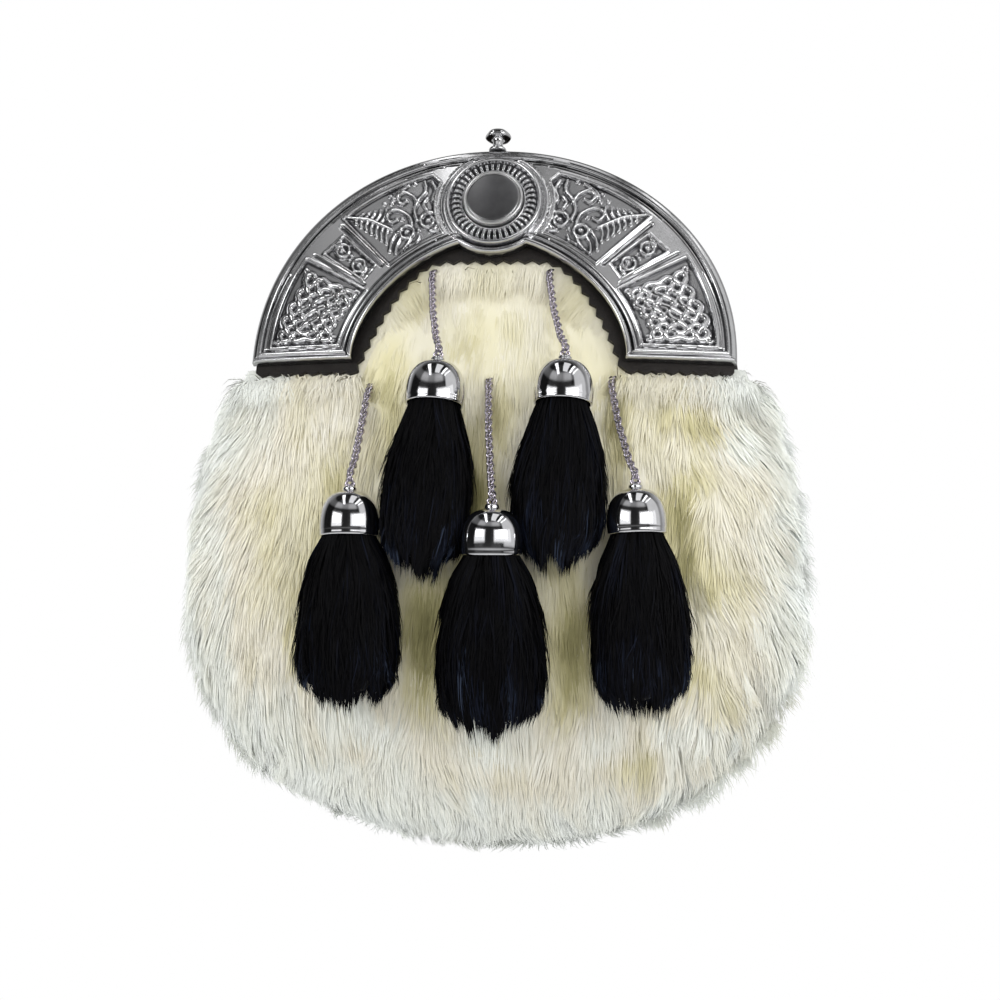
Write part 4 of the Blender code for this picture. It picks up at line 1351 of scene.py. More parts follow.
# Right half of the fur's soft edge as seen from the front, in the bag frame.
FUR_EDGE = (
    # x      z
    (79.0, 8.6),
    (82.5, 4.0),
    (86.6, -3.0),
    (91.2, -12.0),
    (95.8, -28.0),
    (98.2, -44.0),
    (99.5, -65.0),
    (99.5, -82.0),
    (97.5, -94.0),
    (92.5, -105.0),
    (84.0, -120.0),
    (67.5, -132.0),
    (44.0, -143.0),
    (20.0, -149.5),
    (0.0, -152.0),
)
EDGE_MIDDLE = -65.0


def edge_reach(x, z):
    """How far the soft edge lies from its middle, towards each point."""
    edge = np.array(FUR_EDGE)
    at = np.arctan2(edge[:, 1] - EDGE_MIDDLE, edge[:, 0])[::-1]
    reach = np.hypot(edge[:, 0], edge[:, 1] - EDGE_MIDDLE)[::-1]
    angle = np.arctan2(z - EDGE_MIDDLE, np.abs(x))
    return np.interp(angle, at, reach, right=135.0) * (1 + fuller(x, z))


def fuller(x, z):
    """Share by which the coat is fuller low down, more so at the right."""
    under = np.degrees(np.arctan2(EDGE_MIDDLE - z, np.abs(x)))
    right = np.interp(under, (-6, 0, 13, 32, 47, 57, 68, 80), (0, 0.012, 0.038, 0.058, 0.054, 0.045, 0.02, 0))
    left = np.interp(under, (-4, 13, 38, 55), (0, 0.022, 0.026, 0))
    return np.where(x > 0, right, left)


def within_edge(pts, ragged):
    """Draws points near the soft edge in, so no hair passes far beyond it."""
    x, z = pts[..., 0], pts[..., 2] - EDGE_MIDDLE
    r = np.hypot(x, z)
    limit = edge_reach(x, pts[..., 2]) * ragged
    start, room = limit * 0.93, limit * 0.08
    near = start + room * np.tanh((r - start) / room)
    share = np.where(r > start, near / np.maximum(r, 1e-6), 1.0)
    pts[..., 0] = x * share
    pts[..., 2] = z * share + EDGE_MIDDLE


def coat_tone(x, z):
    """Tone of the white fur at each place, without the hairs' own spread, with painted shade round the bells,
    tassels and feet and between the tufts.
    """
    low = smoothstep(-66.0, -108.0, z)
    tone = 0.44 - low * (0.22 - 0.09 * smoothstep(-10.0, 45.0, x))
    # painted shadows from the SHADOWS patches
    tone = tone + 0.04 * Waves(11, 34.0)(x, z) + 0.85 * blobs(x, z, SHADOWS)
    # the tongue is a little warmer in colour, and darker as painted shade against the stronger light on its
    # leaning top
    tone = tone + 0.055 * smoothstep(-16.0, 4.0, z) * smoothstep(46.0, 36.0, np.abs(x))
    pink = np.exp(-(((x - 26) / 18) ** 2 + ((z + 130) / 9) ** 2))
    pink += np.exp(-(((x + 66) / 7) ** 2 + ((z + 84) / 12) ** 2))
    tone = tone + (0.36 - tone) * 0.8 * np.minimum(pink, 1.0)
    # wide ochre bands of painted shade in the gaps between the tufts at the right
    reach = np.hypot(x, z - EDGE_MIDDLE) / edge_reach(x, z)
    tuft_gap_shade = smoothstep(0.45, 1.3, Waves(21, 24.0)(x * 0.8 + z * 0.5, z * 0.6 - x * 0.4))
    tone += 0.20 * tuft_gap_shade * smoothstep(40, 66, x) * smoothstep(1.0, 0.8, reach)
    # the border is pale and cool
    pale = smoothstep(0.66, 0.97, reach) * smoothstep(9.0, -2.0, z)
    return tone * (1 - pale) + 0.08 * pale


def clear_of_chains(pts):
    """Which hairs leave the chains in view."""
    ok = np.ones(len(pts), bool)
    for name, *_ in TASSELS:
        route = chain_route(name)[8:]
        for k in range(1, pts.shape[1]):
            q = pts[:, k]
            near = np.abs(q[:, 0] - np.interp(q[:, 2], route[::-1, 2], route[::-1, 0])) < 1.3
            near &= (q[:, 2] < route[0, 2] - 1.5) & (q[:, 2] > route[-1, 2])
            ahead = q[:, 1] < np.interp(q[:, 2], route[::-1, 2], route[::-1, 1]) + 0.9
            ok &= ~(near & ahead)
    return ok


def clear_of_bells(pts):
    """Which hairs leave the bells in view, from a little right of the front."""
    az, el = math.radians(7.3), math.radians(-7.0)
    to_eye = np.array([math.sin(az) * math.cos(el), -math.cos(az) * math.cos(el), math.sin(el)])
    right = np.array([math.cos(az), math.sin(az), 0.0])
    up = np.cross(to_eye, right)
    heights = [-14.6, -13.9, -8.4, -4.8, -3.35, -2.1, -0.62, 0.6]
    halves = [8.0, 8.9, 8.8, 7.95, 7.15, 6.1, 3.2, 1.5]
    ok = np.ones(len(pts), bool)
    for row in TASSELS:
        _, at = tassel_matrix(row)
        d = pts - at
        across, rise, depth = d @ right, d @ up, d @ to_eye
        half = np.interp(rise, heights, halves)
        hit = (rise > -14.6) & (rise < 0.6) & (np.abs(across) < half + 0.5) & (depth > -half * 0.75)
        ok &= ~hit.any(1)
    return ok


def leaning(n, x, z, base=None):
    """Normals of the shoulders and the tongue turned towards the way the
    leaning front faces, so that their rounded edges are shaded softly. base
    takes the place of the normals themselves, away from those edges."""
    base = n if base is None else base
    stepped = smoothstep(0.25, 0.7, n[:, 2]) * (z > -22) * (np.abs(x) < 80)
    stepped = np.maximum(stepped, smoothstep(0.2, 0.6, np.abs(n[:, 0])) * (z > -9) * (np.abs(x) < 46))
    front = np.array([0.0, -math.cos(LEAN), math.sin(LEAN) * 0.6])
    return unit(base * (1 - 0.92 * stepped)[:, None] + front * 0.92 * stepped[:, None])


def make_white_fur():
    rng = np.random.default_rng(7)
    co, tri, smooth, flat_n, area = surface("fur_front")
    mid = co[tri].mean(1)
    outward = ((mid - np.array([0.0, 15.0, -50.0])) * flat_n).sum(1) > 0
    # nothing inside the chains' holes, or on the back hidden by the bag
    back = flat_n[:, 1] > 0.6
    under = np.maximum(-58.0 - mid[:, 2], 0.0) / 81.5
    behind_bag = (np.abs(mid[:, 0]) < 80) & ((np.abs(mid[:, 0]) / 85.0) ** 2.3 + under**2.3 < 0.86)
    keep = outward & ~(back & behind_bag)
    weight = area * keep
    weight *= np.where(flat_n[:, 1] > 0.6, 0.35, 1.0)
    count = 82000
    root, n = scatter(rng, co, tri, smooth, weight, count)
    x, z = root[:, 0], root[:, 2]

    reach = np.hypot(x, z - EDGE_MIDDLE) / edge_reach(x, z)
    rim = smoothstep(0.66, 0.97, reach) * (z < 4)
    tongue = smoothstep(-8.0, 6.0, z) * (np.abs(x) < 44)
    above = smoothstep(0.25, 0.75, n[:, 2]) * (z > -18) * (np.abs(x) < 80)

    # the way the coat lies: down in the middle, out and down at the rim
    big = rng.choice(count, 520, replace=False)
    of_big = group(root, root[big])
    small = rng.choice(count, 5200, replace=False)
    of_small = group(root, root[small])
    out = unit(np.stack([x, np.zeros(count), (z + 48) * 0.9], -1))
    down = np.array([0.0, 0.0, -1.0])
    flow = down * (1 - 0.62 * rim)[:, None] + out * (rim * 0.95 + 0.06)[:, None]
    flow += np.array([0.0, 1.0, 0.0]) * (0.2 * rim)[:, None]
    # on the shoulders and the tongue's top it comes forward over the edge
    flow += np.array([0.0, -1.6, 0.0]) * above[:, None]
    # wavy tufts, strongest at the right side
    swing = Waves(3, 52.0)(x, z) * 0.18 + Waves(4, 21.0)(x, z) * 0.11
    swing += rng.normal(0, 0.12, len(big))[of_big] + rng.normal(0, 0.06, len(small))[of_small]
    swing += rng.normal(0, 0.05, count)
    swing *= 0.6 + 0.3 * rim + 0.7 * smoothstep(42, 72, x)
    swing *= 1 - 0.7 * above
    flow = unit(flow)
    side_way = unit(np.cross(n, flow))
    flow = flow + side_way * swing[:, None]
    flow = unit(flow - n * (flow * n).sum(1)[:, None])

    length = 11.5 + 1.5 * rim - 2.0 * tongue
    length *= rng.uniform(0.72, 1.22, count) * (1 + 0.08 * rng.normal(0, 1, len(big))[of_big])
    length *= 1 + 5.0 * fuller(x, z) * rim
    lift0 = 0.19 + 0.20 * rim + 0.025 * rng.normal(0, 1, len(small))[of_small]
    lift0 += 0.04 * rng.normal(0, 1, count) + 0.03 * rng.normal(0, 1, len(big))[of_big]
    lift0 = np.clip(lift0, 0.07, 0.75) * (1 - 0.3 * above)
    lift1 = lift0 * 0.10 - 0.02 + 0.10 * rim + 0.03 * rng.normal(0, 1, count)

    steps = 3
    pts = np.empty((count, steps + 1, 3))
    pts[:, 0] = root - n * 0.3
    droop = np.array([0.0, 0.0, -1.0])
    for k in range(steps):
        t = (k + 0.5) / steps
        lift = lift0 + (lift1 - lift0) * t**0.7
        d = flow * np.cos(lift)[:, None] + n * np.sin(lift)[:, None]
        d += droop * (0.22 + 0.9 * above)[:, None] * t
        pts[:, k + 1] = pts[:, k] + unit(d) * (length / steps)[:, None]
    # hairs draw together into tufts
    t = np.linspace(0, 1, steps + 1)
    pull = (rng.uniform(0.05, 0.34, count))[:, None] * t[None] ** 1.4
    pts += (pts[small][of_small] - pts) * pull[..., None]
    wide = (rng.uniform(0.0, 0.26, count) * (0.6 + 0.3 * rim))[:, None] * t[None] ** 2
    pts += (pts[big][of_big] + (root - root[big][of_big])[:, None] * 0.45 - pts) * wide[..., None]
    wave = rng.uniform(0, 2 * math.pi, count)
    curl = 0.28 * np.sin(wave[:, None] + t[None] * 4.2) * t[None] * (1 + rim[:, None])
    pts += side_way[:, None] * curl[..., None]
    ragged = 0.966 + 0.046 * rng.random(count) ** 1.5 + 0.007 * rng.normal(0, 1, len(big))[of_big]
    within_edge(pts, ragged[:, None])

    # colour of each hair
    tone = coat_tone(x, z)
    tone += rng.normal(0, 0.020, len(big))[of_big] + rng.normal(0, 0.012, len(small))[of_small]
    tone += rng.normal(0, 0.015, count)

    # keep clear of the leather, the metal and the chains
    ok = clear_of_chains(pts) & clear_of_bells(pts)
    # the coat gives way little by little to the fringe under the arch
    u, v, _ = unplate(root)
    arch = np.array(PINKED_LINE)
    past, _ = nearest(np.stack([u, v], -1), np.concatenate([arch, (arch * [-1, 1])[-2::-1]]))
    near_arch = (np.abs(u) < 41.0) & (v > -4.0) & (root[:, 1] < panel_y(x, z))
    ok &= ~near_arch | (rng.random(count) < smoothstep(0.0, 8.0, past))
    line = np.array(PINKED_LINE)[:6]
    for k in range(1, steps + 1):
        u, v, w = unplate(pts[:, k])
        limit = np.interp(v, line[:, 1], line[:, 0])
        over = (np.abs(u) > limit - 0.9) | (v > 32.0)
        over &= (v > -5.3) & (np.abs(u) < 76.8) & (w > BACKING_BACK - 0.2)
        ok &= ~over

    width = 0.19 * rng.uniform(0.75, 1.25, count) * (1 - 0.25 * smoothstep(0.88, 0.97, reach))
    half = width[:, None] * np.array([1.0, 1.0, 0.7])[None]
    run = unit(np.gradient(pts, axis=1))
    roll = rng.uniform(-0.3, 0.3, count)
    facing = n * np.cos(roll)[:, None] + side_way * np.sin(roll)[:, None]
    side = unit(np.cross(run, facing[:, None]))
    # the thin soft border is lit through, so it isn't darker than the front,
    # and the shoulders and the tongue are shaded as the leaning front is
    bright = smoothstep(0.70, 0.93, reach)
    # hairs of the far side that show past the border look forward too, and
    # their other side looks out and back
    plane = np.cross(side[:, 1], run[:, 1])
    plane *= np.where((plane * n).sum(1) < 0, -1.0, 1.0)[:, None]
    ahead = np.array([101.0, -787.0, -97.0]) - pts[:, 1]
    far = ((plane * ahead).sum(1) < 0) & (bright > 0.05) & (n[:, 2] < 0.5)
    shade_n = np.where(far[:, None], -0.7 * n, n) + np.array([0.0, -1.1, 0.1]) * bright[:, None]
    shade_n = leaning(n, x, z, unit(shade_n))
    looks = np.where(far[:, None], -n, n)
    # broad soft locks
    lean_x, lean_z = x * 0.96 + z * 0.28, (z * 0.96 - x * 0.28) * 0.38
    locks = Waves(41, 15.0)
    slope = locks(lean_x + 0.5, lean_z) - locks(lean_x - 0.5, lean_z)
    slope *= 0.35 + 0.45 * smoothstep(30.0, 64.0, x)
    shade_n = unit(shade_n - np.array([1.0, 0.0, 0.0]) * slope[:, None])
    # the locks also darken the tone in bands: painted shade between the locks
    tone += 0.022 * locks(lean_x + 3.0, lean_z) * (1 + 1.2 * smoothstep(30.0, 64.0, x))
    cuts = (("left", x < -28), ("middle", (x >= -28) & (x < 32)), ("right", x >= 32))
    for label, chosen in cuts:
        m = chosen & ok
        ribbons(
            "fur_hair_" + label, pts[m], side[m], half[m], shade_n[m], tone[m],
            WHITE_FUR, 0.07, 0.09, looks[m],
        )
    print("white hairs", int(ok.sum()))


def make_fringe():
    """Hairs that come from behind the pinked leather and lie over the border
    of the tongue, and over the shoulders under the feet."""
    rng = np.random.default_rng(17)
    right = np.array(PINKED_LINE)
    arch = even(spline(np.concatenate([right, (right * [-1, 1])[-2::-1]]), 10), 0.2)
    run = unit(np.gradient(arch, axis=0))
    away = np.stack([run[:, 1], -run[:, 0]], -1)
    feet = []
    for side in (1, -1):
        u = np.arange(41.0, 78.5, 0.2) * side
        feet.append(np.stack([u, np.full(len(u), -3.4)], -1))
    feet = np.concatenate(feet)
    up = np.tile([[0.0, 1.0]], (len(feet), 1))
    # how far out of the plate a hair lies, by how far it is past the teeth
    over_tongue = (
        [-3, 0.9, 2.0, 3.5, 5.0, 8.0, 12.0, 20.0],
        [-4.7, -4.5, -3.9, -2.9, -2.0, -0.7, 0.4, 1.0],
    )
    over_feet = (
        [-3, 1.6, 2.6, 4.0, 6.0, 9.0, 12.0, 20.0],
        [-4.7, -4.5, -3.2, -0.6, 2.0, 3.9, 4.9, 6.4],
    )
    steps = 4
    made = []
    for line, out, table, count, slant in (
        (arch, away, over_tongue, 6200, 0.8),
        (feet, up, over_feet, 3600, 0.0),
    ):
        k = rng.integers(len(line), size=count)
        way = -out[k] + np.array([0.0, -1.0]) * slant
        way[:, 0] += rng.normal(0, 0.16, count) + 0.14 * Waves(23, 9.0)(line[k, 0], line[k, 1])
        way = unit(way)
        start = line[k] + out[k] * rng.uniform(0.8, 2.2, count)[:, None]
        length = 4.5 + 15.0 * rng.random(count) ** 1.2
        raised = rng.uniform(-0.3, 0.7, count)
        pts = np.empty((count, steps + 1, 3))
        for i in range(steps + 1):
            t = (i / steps) ** 1.25
            uv = start + way * (length * t)[:, None]
            past = -((uv - line[k]) * out[k]).sum(1)
            w = np.interp(past, *table)
            w += raised * smoothstep(1.6, 5.0, past)
            pts[:, i] = plate(uv[:, 0], uv[:, 1], w)
        made.append(pts)
    pts = np.concatenate(made)
    pts = pts[clear_of_chains(pts) & clear_of_bells(pts)]
    count = len(pts)
    x, z = pts[:, 0, 0], pts[:, 0, 2]
    n = np.tile([[0.0, -math.cos(LEAN), math.sin(LEAN) * 0.6]], (count, 1))
    # a little paler than the coat: painted light against the shade the cantle casts over the fringe
    tone = coat_tone(x, z - 4.0) - 0.03 + rng.normal(0, 0.018, count)
    width = 0.175 * rng.uniform(0.75, 1.25, count)
    half = width[:, None] * np.array([1.0, 1.0, 0.8, 0.5])[None]
    run = unit(np.gradient(pts, axis=1))
    roll = rng.uniform(-0.4, 0.4, count)
    facing = n * np.cos(roll)[:, None] + np.array([1.0, 0.0, 0.0]) * np.sin(roll)[:, None]
    side = unit(np.cross(run, facing[:, None]))
    ribbons("fur_hair_fringe", pts, side, half, unit(n), tone, WHITE_FUR, 0.10, 0.13)


def make_fur_skin():
    """The fur's own base, seen only between hairs."""
    source = NODES["fur_front"].data
    bm = bmesh.new()
    bm.from_mesh(source)
    bmesh.ops.remove_doubles(bm, verts=bm.verts, dist=1e-6)
    me = bpy.data.meshes.new("fur_skin")
    bm.to_mesh(me)
    bm.free()
    co = np.zeros(len(me.vertices) * 3, np.float32)
    me.vertices.foreach_get("co", co)
    bag = to_bag(co.reshape(-1, 3))
    while me.uv_layers:
        me.uv_layers.remove(me.uv_layers[0])
    loops = np.zeros(len(me.loops), np.int32)
    me.loops.foreach_get("vertex_index", loops)
    layer = me.uv_layers.new(name="OFBake")
    deeper = 0.04 - 0.06 * smoothstep(-12.0, 2.0, bag[:, 2])
    tone = np.clip(coat_tone(bag[:, 0], bag[:, 2]) + deeper, 0.03, 0.95)
    rng = np.random.default_rng(5)
    uv = np.stack([tone, np.full(len(bag), 0.3)], -1)[loops]
    uv += rng.uniform(-0.012, 0.012, uv.shape)
    layer.data.foreach_set("uv", uv.astype(np.float32).ravel())
    me.shade_smooth()
    n = np.zeros(len(me.vertices) * 3, np.float32)
    me.vertices.foreach_get("normal", n)
    n = leaning(n.reshape(-1, 3), bag[:, 0], bag[:, 2])
    me.normals_split_custom_set_from_vertices(n.astype(np.float32))
    return piece("fur_skin", me, WHITE_FUR, ["fur_front"])


def make_tassel(row, seed):
    name, _, _, _, _, _, length, half = row
    turn, at = tassel_matrix(row)
    rng = np.random.default_rng(seed)
    column = 1 if "upper" in name else 2
    table = [(-9.8, 7.0), (-13.9, 7.9)]
    table += [(-14.3 - length * r[0], half * r[column]) for r in TASSEL_FORM]
    table += [(-14.3 - length - 1.2, half * 0.45)]
    hs = np.array([t[0] for t in table])[::-1]
    rs = np.array([t[1] for t in table])[::-1]

    def radius(h):
        return np.interp(h, hs, rs)

    def form(phi, h, scale):
        down = np.clip((-h - 14.0) / 12.0, 0.0, 1.0)
        depth = 1.0 + (TASSEL_DEPTH - 1.0) * down
        r = radius(h) * scale
        return np.stack([r * np.cos(phi), r * np.sin(phi) * depth, h], -1)

    # the core, a lumpy dark form under the hairs
    rows_h = np.concatenate([[-10.0, -12.0, -14.0], -14.3 - length * np.linspace(0.03, 0.88, 22)])
    steps = 40
    phi = np.arange(steps) * 2 * math.pi / steps
    lump = Waves(seed + 50, 2.2, 2)(np.cos(phi) * 2, np.sin(phi) * 2) * 0.02
    close = 1 - 0.55 * smoothstep(0.74, 0.88, (-14.3 - rows_h) / length)
    co = np.stack([form(phi, np.full(steps, h), 0.90 * c + lump) for h, c in zip(rows_h, close)])
    co = co.reshape(-1, 3)
    quads = grid(len(rows_h), steps, wrap_cols=True)
    ends = np.array([[0, 0, -10.0], [0, 0, -14.3 - length * 0.91]])
    first = len(co)
    i = np.arange(steps)
    j = (i + 1) % steps
    last = (len(rows_h) - 1) * steps
    tris = np.concatenate(
        [
            np.stack([np.full(steps, first), j, i], -1),
            np.stack([np.full(steps, first + 1), last + i, last + j], -1),
        ]
    )
    co = np.concatenate([co, ends])
    me = make_mesh("tassel_core_" + name, co @ turn.T + at, tris, quads)
    loops = np.zeros(len(me.loops), np.int32)
    me.loops.foreach_get("vertex_index", loops)
    layer = me.uv_layers.new(name="OFBake")
    uv = np.stack([np.full(len(co), 0.12), np.full(len(co), 0.1)], -1)[loops]
    uv += rng.uniform(-0.02, 0.02, uv.shape)
    layer.data.foreach_set("uv", uv.astype(np.float32).ravel())
    fix_normals(me)
    piece("tassel_core_" + name, me, BLACK_FUR, ["tassel_" + name])

    # hairs hang over the form
    count = 5200
    phi0 = rng.uniform(0, 2 * math.pi, count)
    share = rng.random(count) ** 0.8
    h0 = -11.0 - (length * 0.88) * share
    tufts = 170
    tuft_phi = rng.uniform(0, 2 * math.pi, tufts)
    tuft_h = -11.0 - length * 0.9 * rng.random(tufts)
    centres = np.stack([9 * np.cos(tuft_phi), 9 * np.sin(tuft_phi), tuft_h * 0.35], -1)
    of_tuft = group(np.stack([9 * np.cos(phi0), 9 * np.sin(phi0), h0 * 0.35], -1), centres)
    run = rng.uniform(13.0, 23.0, count) * (0.8 + 0.35 * rng.random(tufts)[of_tuft])
    # blunt ragged end: tufts stop at different heights, single hairs go on
    stop = 7.0 * (rng.random(tufts)[of_tuft] - 0.70) + rng.uniform(-3.0, 1.4, count)
    stop += 3.4 * (rng.random(count) > 0.93) * rng.random(count)
    stop -= 7.5 * np.abs(np.cos(phi0)) ** 3
    run = np.minimum(run, (length + 14.3 + h0) + stop)
    run = np.maximum(run, 3.0)
    bend = rng.normal(0, 0.07, count) + rng.normal(0, 0.09, tufts)[of_tuft]
    rise = rng.uniform(0.01, 0.08, count) + 0.06 * rng.random(tufts)[of_tuft]
    stray = (rng.random(count) > 0.86) * (h0 < -11.0 - length * 0.15)
    rise += stray * rng.uniform(0.03, 0.13, count)
    bend += stray * rng.normal(0, 0.10, count)
    steps = 4
    pts = np.empty((count, steps + 1, 3))
    tip = tuft_phi[of_tuft]
    turn_to = (tip - phi0 + math.pi) % (2 * math.pi) - math.pi
    pull = rng.uniform(0.25, 0.75, count)
    end = -14.3 - length
    for k in range(steps + 1):
        t = k / steps
        h = h0 - run * t
        phi_k = phi0 + bend * t + turn_to * pull * t**1.5
        past = np.clip(end + 3.0 - h, 0, None)
        scale = 0.94 + rise * 1.1 * t + 0.04 * math.sin(math.pi * t)
        low = np.maximum(h, end + 3.0)
        q = form(phi_k, low, scale)
        q[:, 2] = h
        # past the end the hairs hang on, drawing together a little
        q[:, :2] *= (1 - 0.02 * np.clip(past, 0, 8))[:, None]
        pts[:, k] = q
    n = unit(np.stack([np.cos(phi0), np.sin(phi0) / TASSEL_DEPTH, np.zeros(count)], -1))
    sway = Waves(seed + 90, 16.0, 2)(phi0 * 6, h0) * 0.4
    pts[:, :, 0] += sway[:, None] * np.linspace(0, 1, steps + 1)[None] ** 2
    # navy painted sheen: hairs and tufts lifted towards the navy stops, more so low down
    low = smoothstep(-14.3 - length * 0.25, -14.3 - length * 0.75, h0)
    tone = 0.10 + 0.30 * rng.random(count)
    tone += (0.14 + 0.16 * low) * np.abs(rng.normal(0, 0.9, tufts))[of_tuft]
    tone += 0.15 * np.abs(rng.normal(0, 1, count)) * (0.5 + 0.4 * low)
    tone = np.minimum(tone, 0.96)
    pts_b = pts @ turn.T + at
    n_b = n @ turn.T
    width = 0.225 * rng.uniform(0.7, 1.3, count)
    halfw = width[:, None] * np.array([0.8, 1.0, 0.8, 0.5])[None]
    run_d = unit(np.gradient(pts_b, axis=1))
    roll = rng.uniform(-0.8, 0.8, count)
    side_way = unit(np.cross(n_b, run_d[:, 0]))
    facing = n_b * np.cos(roll)[:, None] + side_way * np.sin(roll)[:, None]
    side = unit(np.cross(run_d, facing[:, None]))
    ribbons("tassel_hair_" + name, pts_b, side, halfw, n_b, tone, BLACK_FUR)


# ---------------------------------------------------------------- leather

def bag_outline():
    """Back edge of the bag, x and z, clockwise from the right end of its
    mouth over the arch."""
    pts = []
    for i in range(27):
        a = math.pi * i / 26
        r = float(superellipse(74.5, 62.5, ARCH_POWER, a))
        pts.append((r * math.cos(a), r * math.sin(a)))
    lower = []
    for z in (-14.0, -30.0, -46.0):
        x = 74.5 + (85.0 - 74.5) * math.sin(math.pi / 2 * z / -58.0)
        lower.append((x, z))
    for i in range(12):
        a = math.pi / 2 * i / 11
        r = float(superellipse(85.0, -58.0 + 139.5, 2.3, a))
        lower.append((r * math.cos(a), -58.0 - r * math.sin(a)))
    pts += [(-x, z) for x, z in lower]
    pts += [(x, z) for x, z in lower[-2::-1]]
    return np.array(pts)


def stitches(line, normal, spacing=3.4, size=2.1, radius=0.33):
    """Short threads that dip at both ends, along a line of bag frame points."""
    p = even(line, spacing)
    made = []
    for a, b in zip(p[:-1], p[1:]):
        mid, run = (a + b) / 2, unit(b - a)
        t = np.linspace(-1, 1, 5)[:, None]
        made.append(mid + run * t * size / 2 + normal * (0.28 - 0.42 * t**2))
    return tubes(made, radius, 5)


def make_bag():
    """The bag's leather: the CAD shell, softened, with its folds."""
    source = NODES["pouch"].data
    bm = bmesh.new()
    bm.from_mesh(source)
    bmesh.ops.remove_doubles(bm, verts=bm.verts, dist=1e-6)
    long_edges = [e for e in bm.edges if e.calc_length() > 0.006]
    bmesh.ops.subdivide_edges(bm, edges=long_edges, cuts=2, use_grid_fill=True)
    bmesh.ops.triangulate(bm, faces=bm.faces)
    me = bpy.data.meshes.new("bag_leather")
    bm.to_mesh(me)
    bm.free()
    co = np.zeros(len(me.vertices) * 3, np.float32)
    me.vertices.foreach_get("co", co)
    b = to_bag(co.reshape(-1, 3))
    n = np.zeros(len(me.vertices) * 3, np.float32)
    me.vertices.foreach_get("normal", n)
    n = n.reshape(-1, 3)
    # shallow creases on the back and the gusset
    soft = 0.22 * Waves(31, 34.0, 3)(*b.T) + 0.10 * Waves(32, 11.0, 3)(*b.T)
    soft *= smoothstep(20.0, 36.0, b[:, 1])
    soft = np.minimum(soft, 0.15)
    b = b + n * soft[:, None]
    me.vertices.foreach_set("co", to_world(b).astype(np.float32).ravel())
    me.shade_smooth()
    me.set_sharp_from_angle(angle=math.radians(38))
    piece("bag_leather", me, BAG_LEATHER, ["pouch"])

    # welt round the back edge and a row of stitches inside it
    outline = bag_outline()
    whole = np.concatenate([outline, outline[:1]])
    p = even(spline(np.stack([whole[:-1, 0], whole[:-1, 1]], -1), 4, closed=True), 2.2)[:-1]
    centre = np.array([0.0, -50.0])
    welt = np.stack([p[:, 0], np.full(len(p), BACK_Y - 0.25), p[:, 1]], -1)
    co, _, quads = tubes([welt], 1.05, 10, closed=True)
    me = make_mesh("bag_welt", co, None, quads)
    fix_normals(me)
    piece("bag_welt", me, LEATHER)
    back = np.array([0.0, 1.0, 0.0])
    rows = []
    for share in (0.955,):
        q = centre + (p - centre) * share
        rows.append(stitches(np.stack([q[:, 0], np.full(len(q), BACK_Y + 0.05), q[:, 1]], -1), back))
    join("bag_stitches", rows, THREAD)


def join(name, parts, mat):
    co, tris, quads, first = [], [], [], 0
    for c, t, q in parts:
        co.append(c)
        if t is not None:
            tris.append(t + first)
        quads.append(q + first)
        first += len(c)
    me = make_mesh(name, np.concatenate(co), np.concatenate(tris) if tris else None, np.concatenate(quads))
    fix_normals(me)
    return piece(name, me, mat)


def make_loop_stitches():
    rows = []
    y = BACK_Y + GAP + 1.8 + 0.05
    for x in (-38.0, 38.0):
        for z0, z1 in ((15.4, 20.2), (-15.4, -20.2)):
            box = [
                (x - 6.2, y, 24.0 - 24.0 + z0), (x + 6.2, y, z0), (x + 6.2, y, z1),
                (x - 6.2, y, z1), (x - 6.2, y, z0),
            ]
            for a, b in zip(box[:-1], box[1:]):
                a, b = np.array(a, float), np.array(b, float)
                a[2] += 24.0
                b[2] += 24.0
                steps = max(2, int(round(np.linalg.norm(b - a) / 2.6)))
                line = a + (b - a) * np.linspace(0, 1, steps + 1)[:, None]
                rows.append(stitches(line, np.array([0.0, 1.0, 0.0]), 2.5, 1.6, 0.3))
    join("loop_stitches", rows, THREAD)


def thread_material():
    made, tree, shader = material("thread")
    cloud = noise(tree, 900.0, 3.0)
    tone = ramp(tree, ((0.3, (0.030, 0.026, 0.024)), (0.7, (0.075, 0.066, 0.060))), cloud)
    tree.links.new(tone, shader.inputs["Base Color"])
    shader.inputs["Roughness"].default_value = 0.7
    turns = node(tree, "TexWave", Scale=900.0, Distortion=0.6)
    tree.links.new(coordinates(tree), turns.inputs["Vector"])
    bump(tree, shader, turns.outputs["Fac"], 0.5, 0.0001)
    return made


THREAD = thread_material()


def paint_node(name, mat):
    obj = NODES[name]
    obj.data.materials.clear()
    obj.data.materials.append(mat)


# ---------------------------------------------------------------- studio

def camera():
    azimuth, elevation, roll = math.radians(7.32), math.radians(-7.0), math.radians(0.74)
    distance, scale = 0.8, 3267.0
    aim = Vector((0.0, -0.042, -0.024))
    c = Vector(
        (
            math.sin(azimuth) * math.cos(elevation),
            -math.cos(azimuth) * math.cos(elevation),
            math.sin(elevation),
        )
    )
    right = Vector((math.cos(azimuth), math.sin(azimuth), 0.0))
    up = right.cross(-c)
    r2 = right * math.cos(roll) + up * math.sin(roll)
    u2 = -right * math.sin(roll) + up * math.cos(roll)
    span = scale * distance
    forward = (-c + r2 * ((500 - 485.8) / span) - u2 * ((500 - 354.1) / span)).normalized()
    x = (r2 - forward * r2.dot(forward)).normalized()
    y = x.cross(forward) * -1.0
    z = -forward
    y = z.cross(x)
    data = bpy.data.cameras.new("camera")
    data.sensor_width = 36.0
    data.lens = span / 1000.0 * 36.0
    data.clip_start, data.clip_end = 0.02, 20.0
    made = bpy.data.objects.new("camera", data)
    bpy.context.scene.collection.objects.link(made)
    place = Matrix((x, y, z)).transposed().to_4x4()
    place.translation = aim + c * distance
    made.matrix_world = place
    bpy.context.scene.camera = made


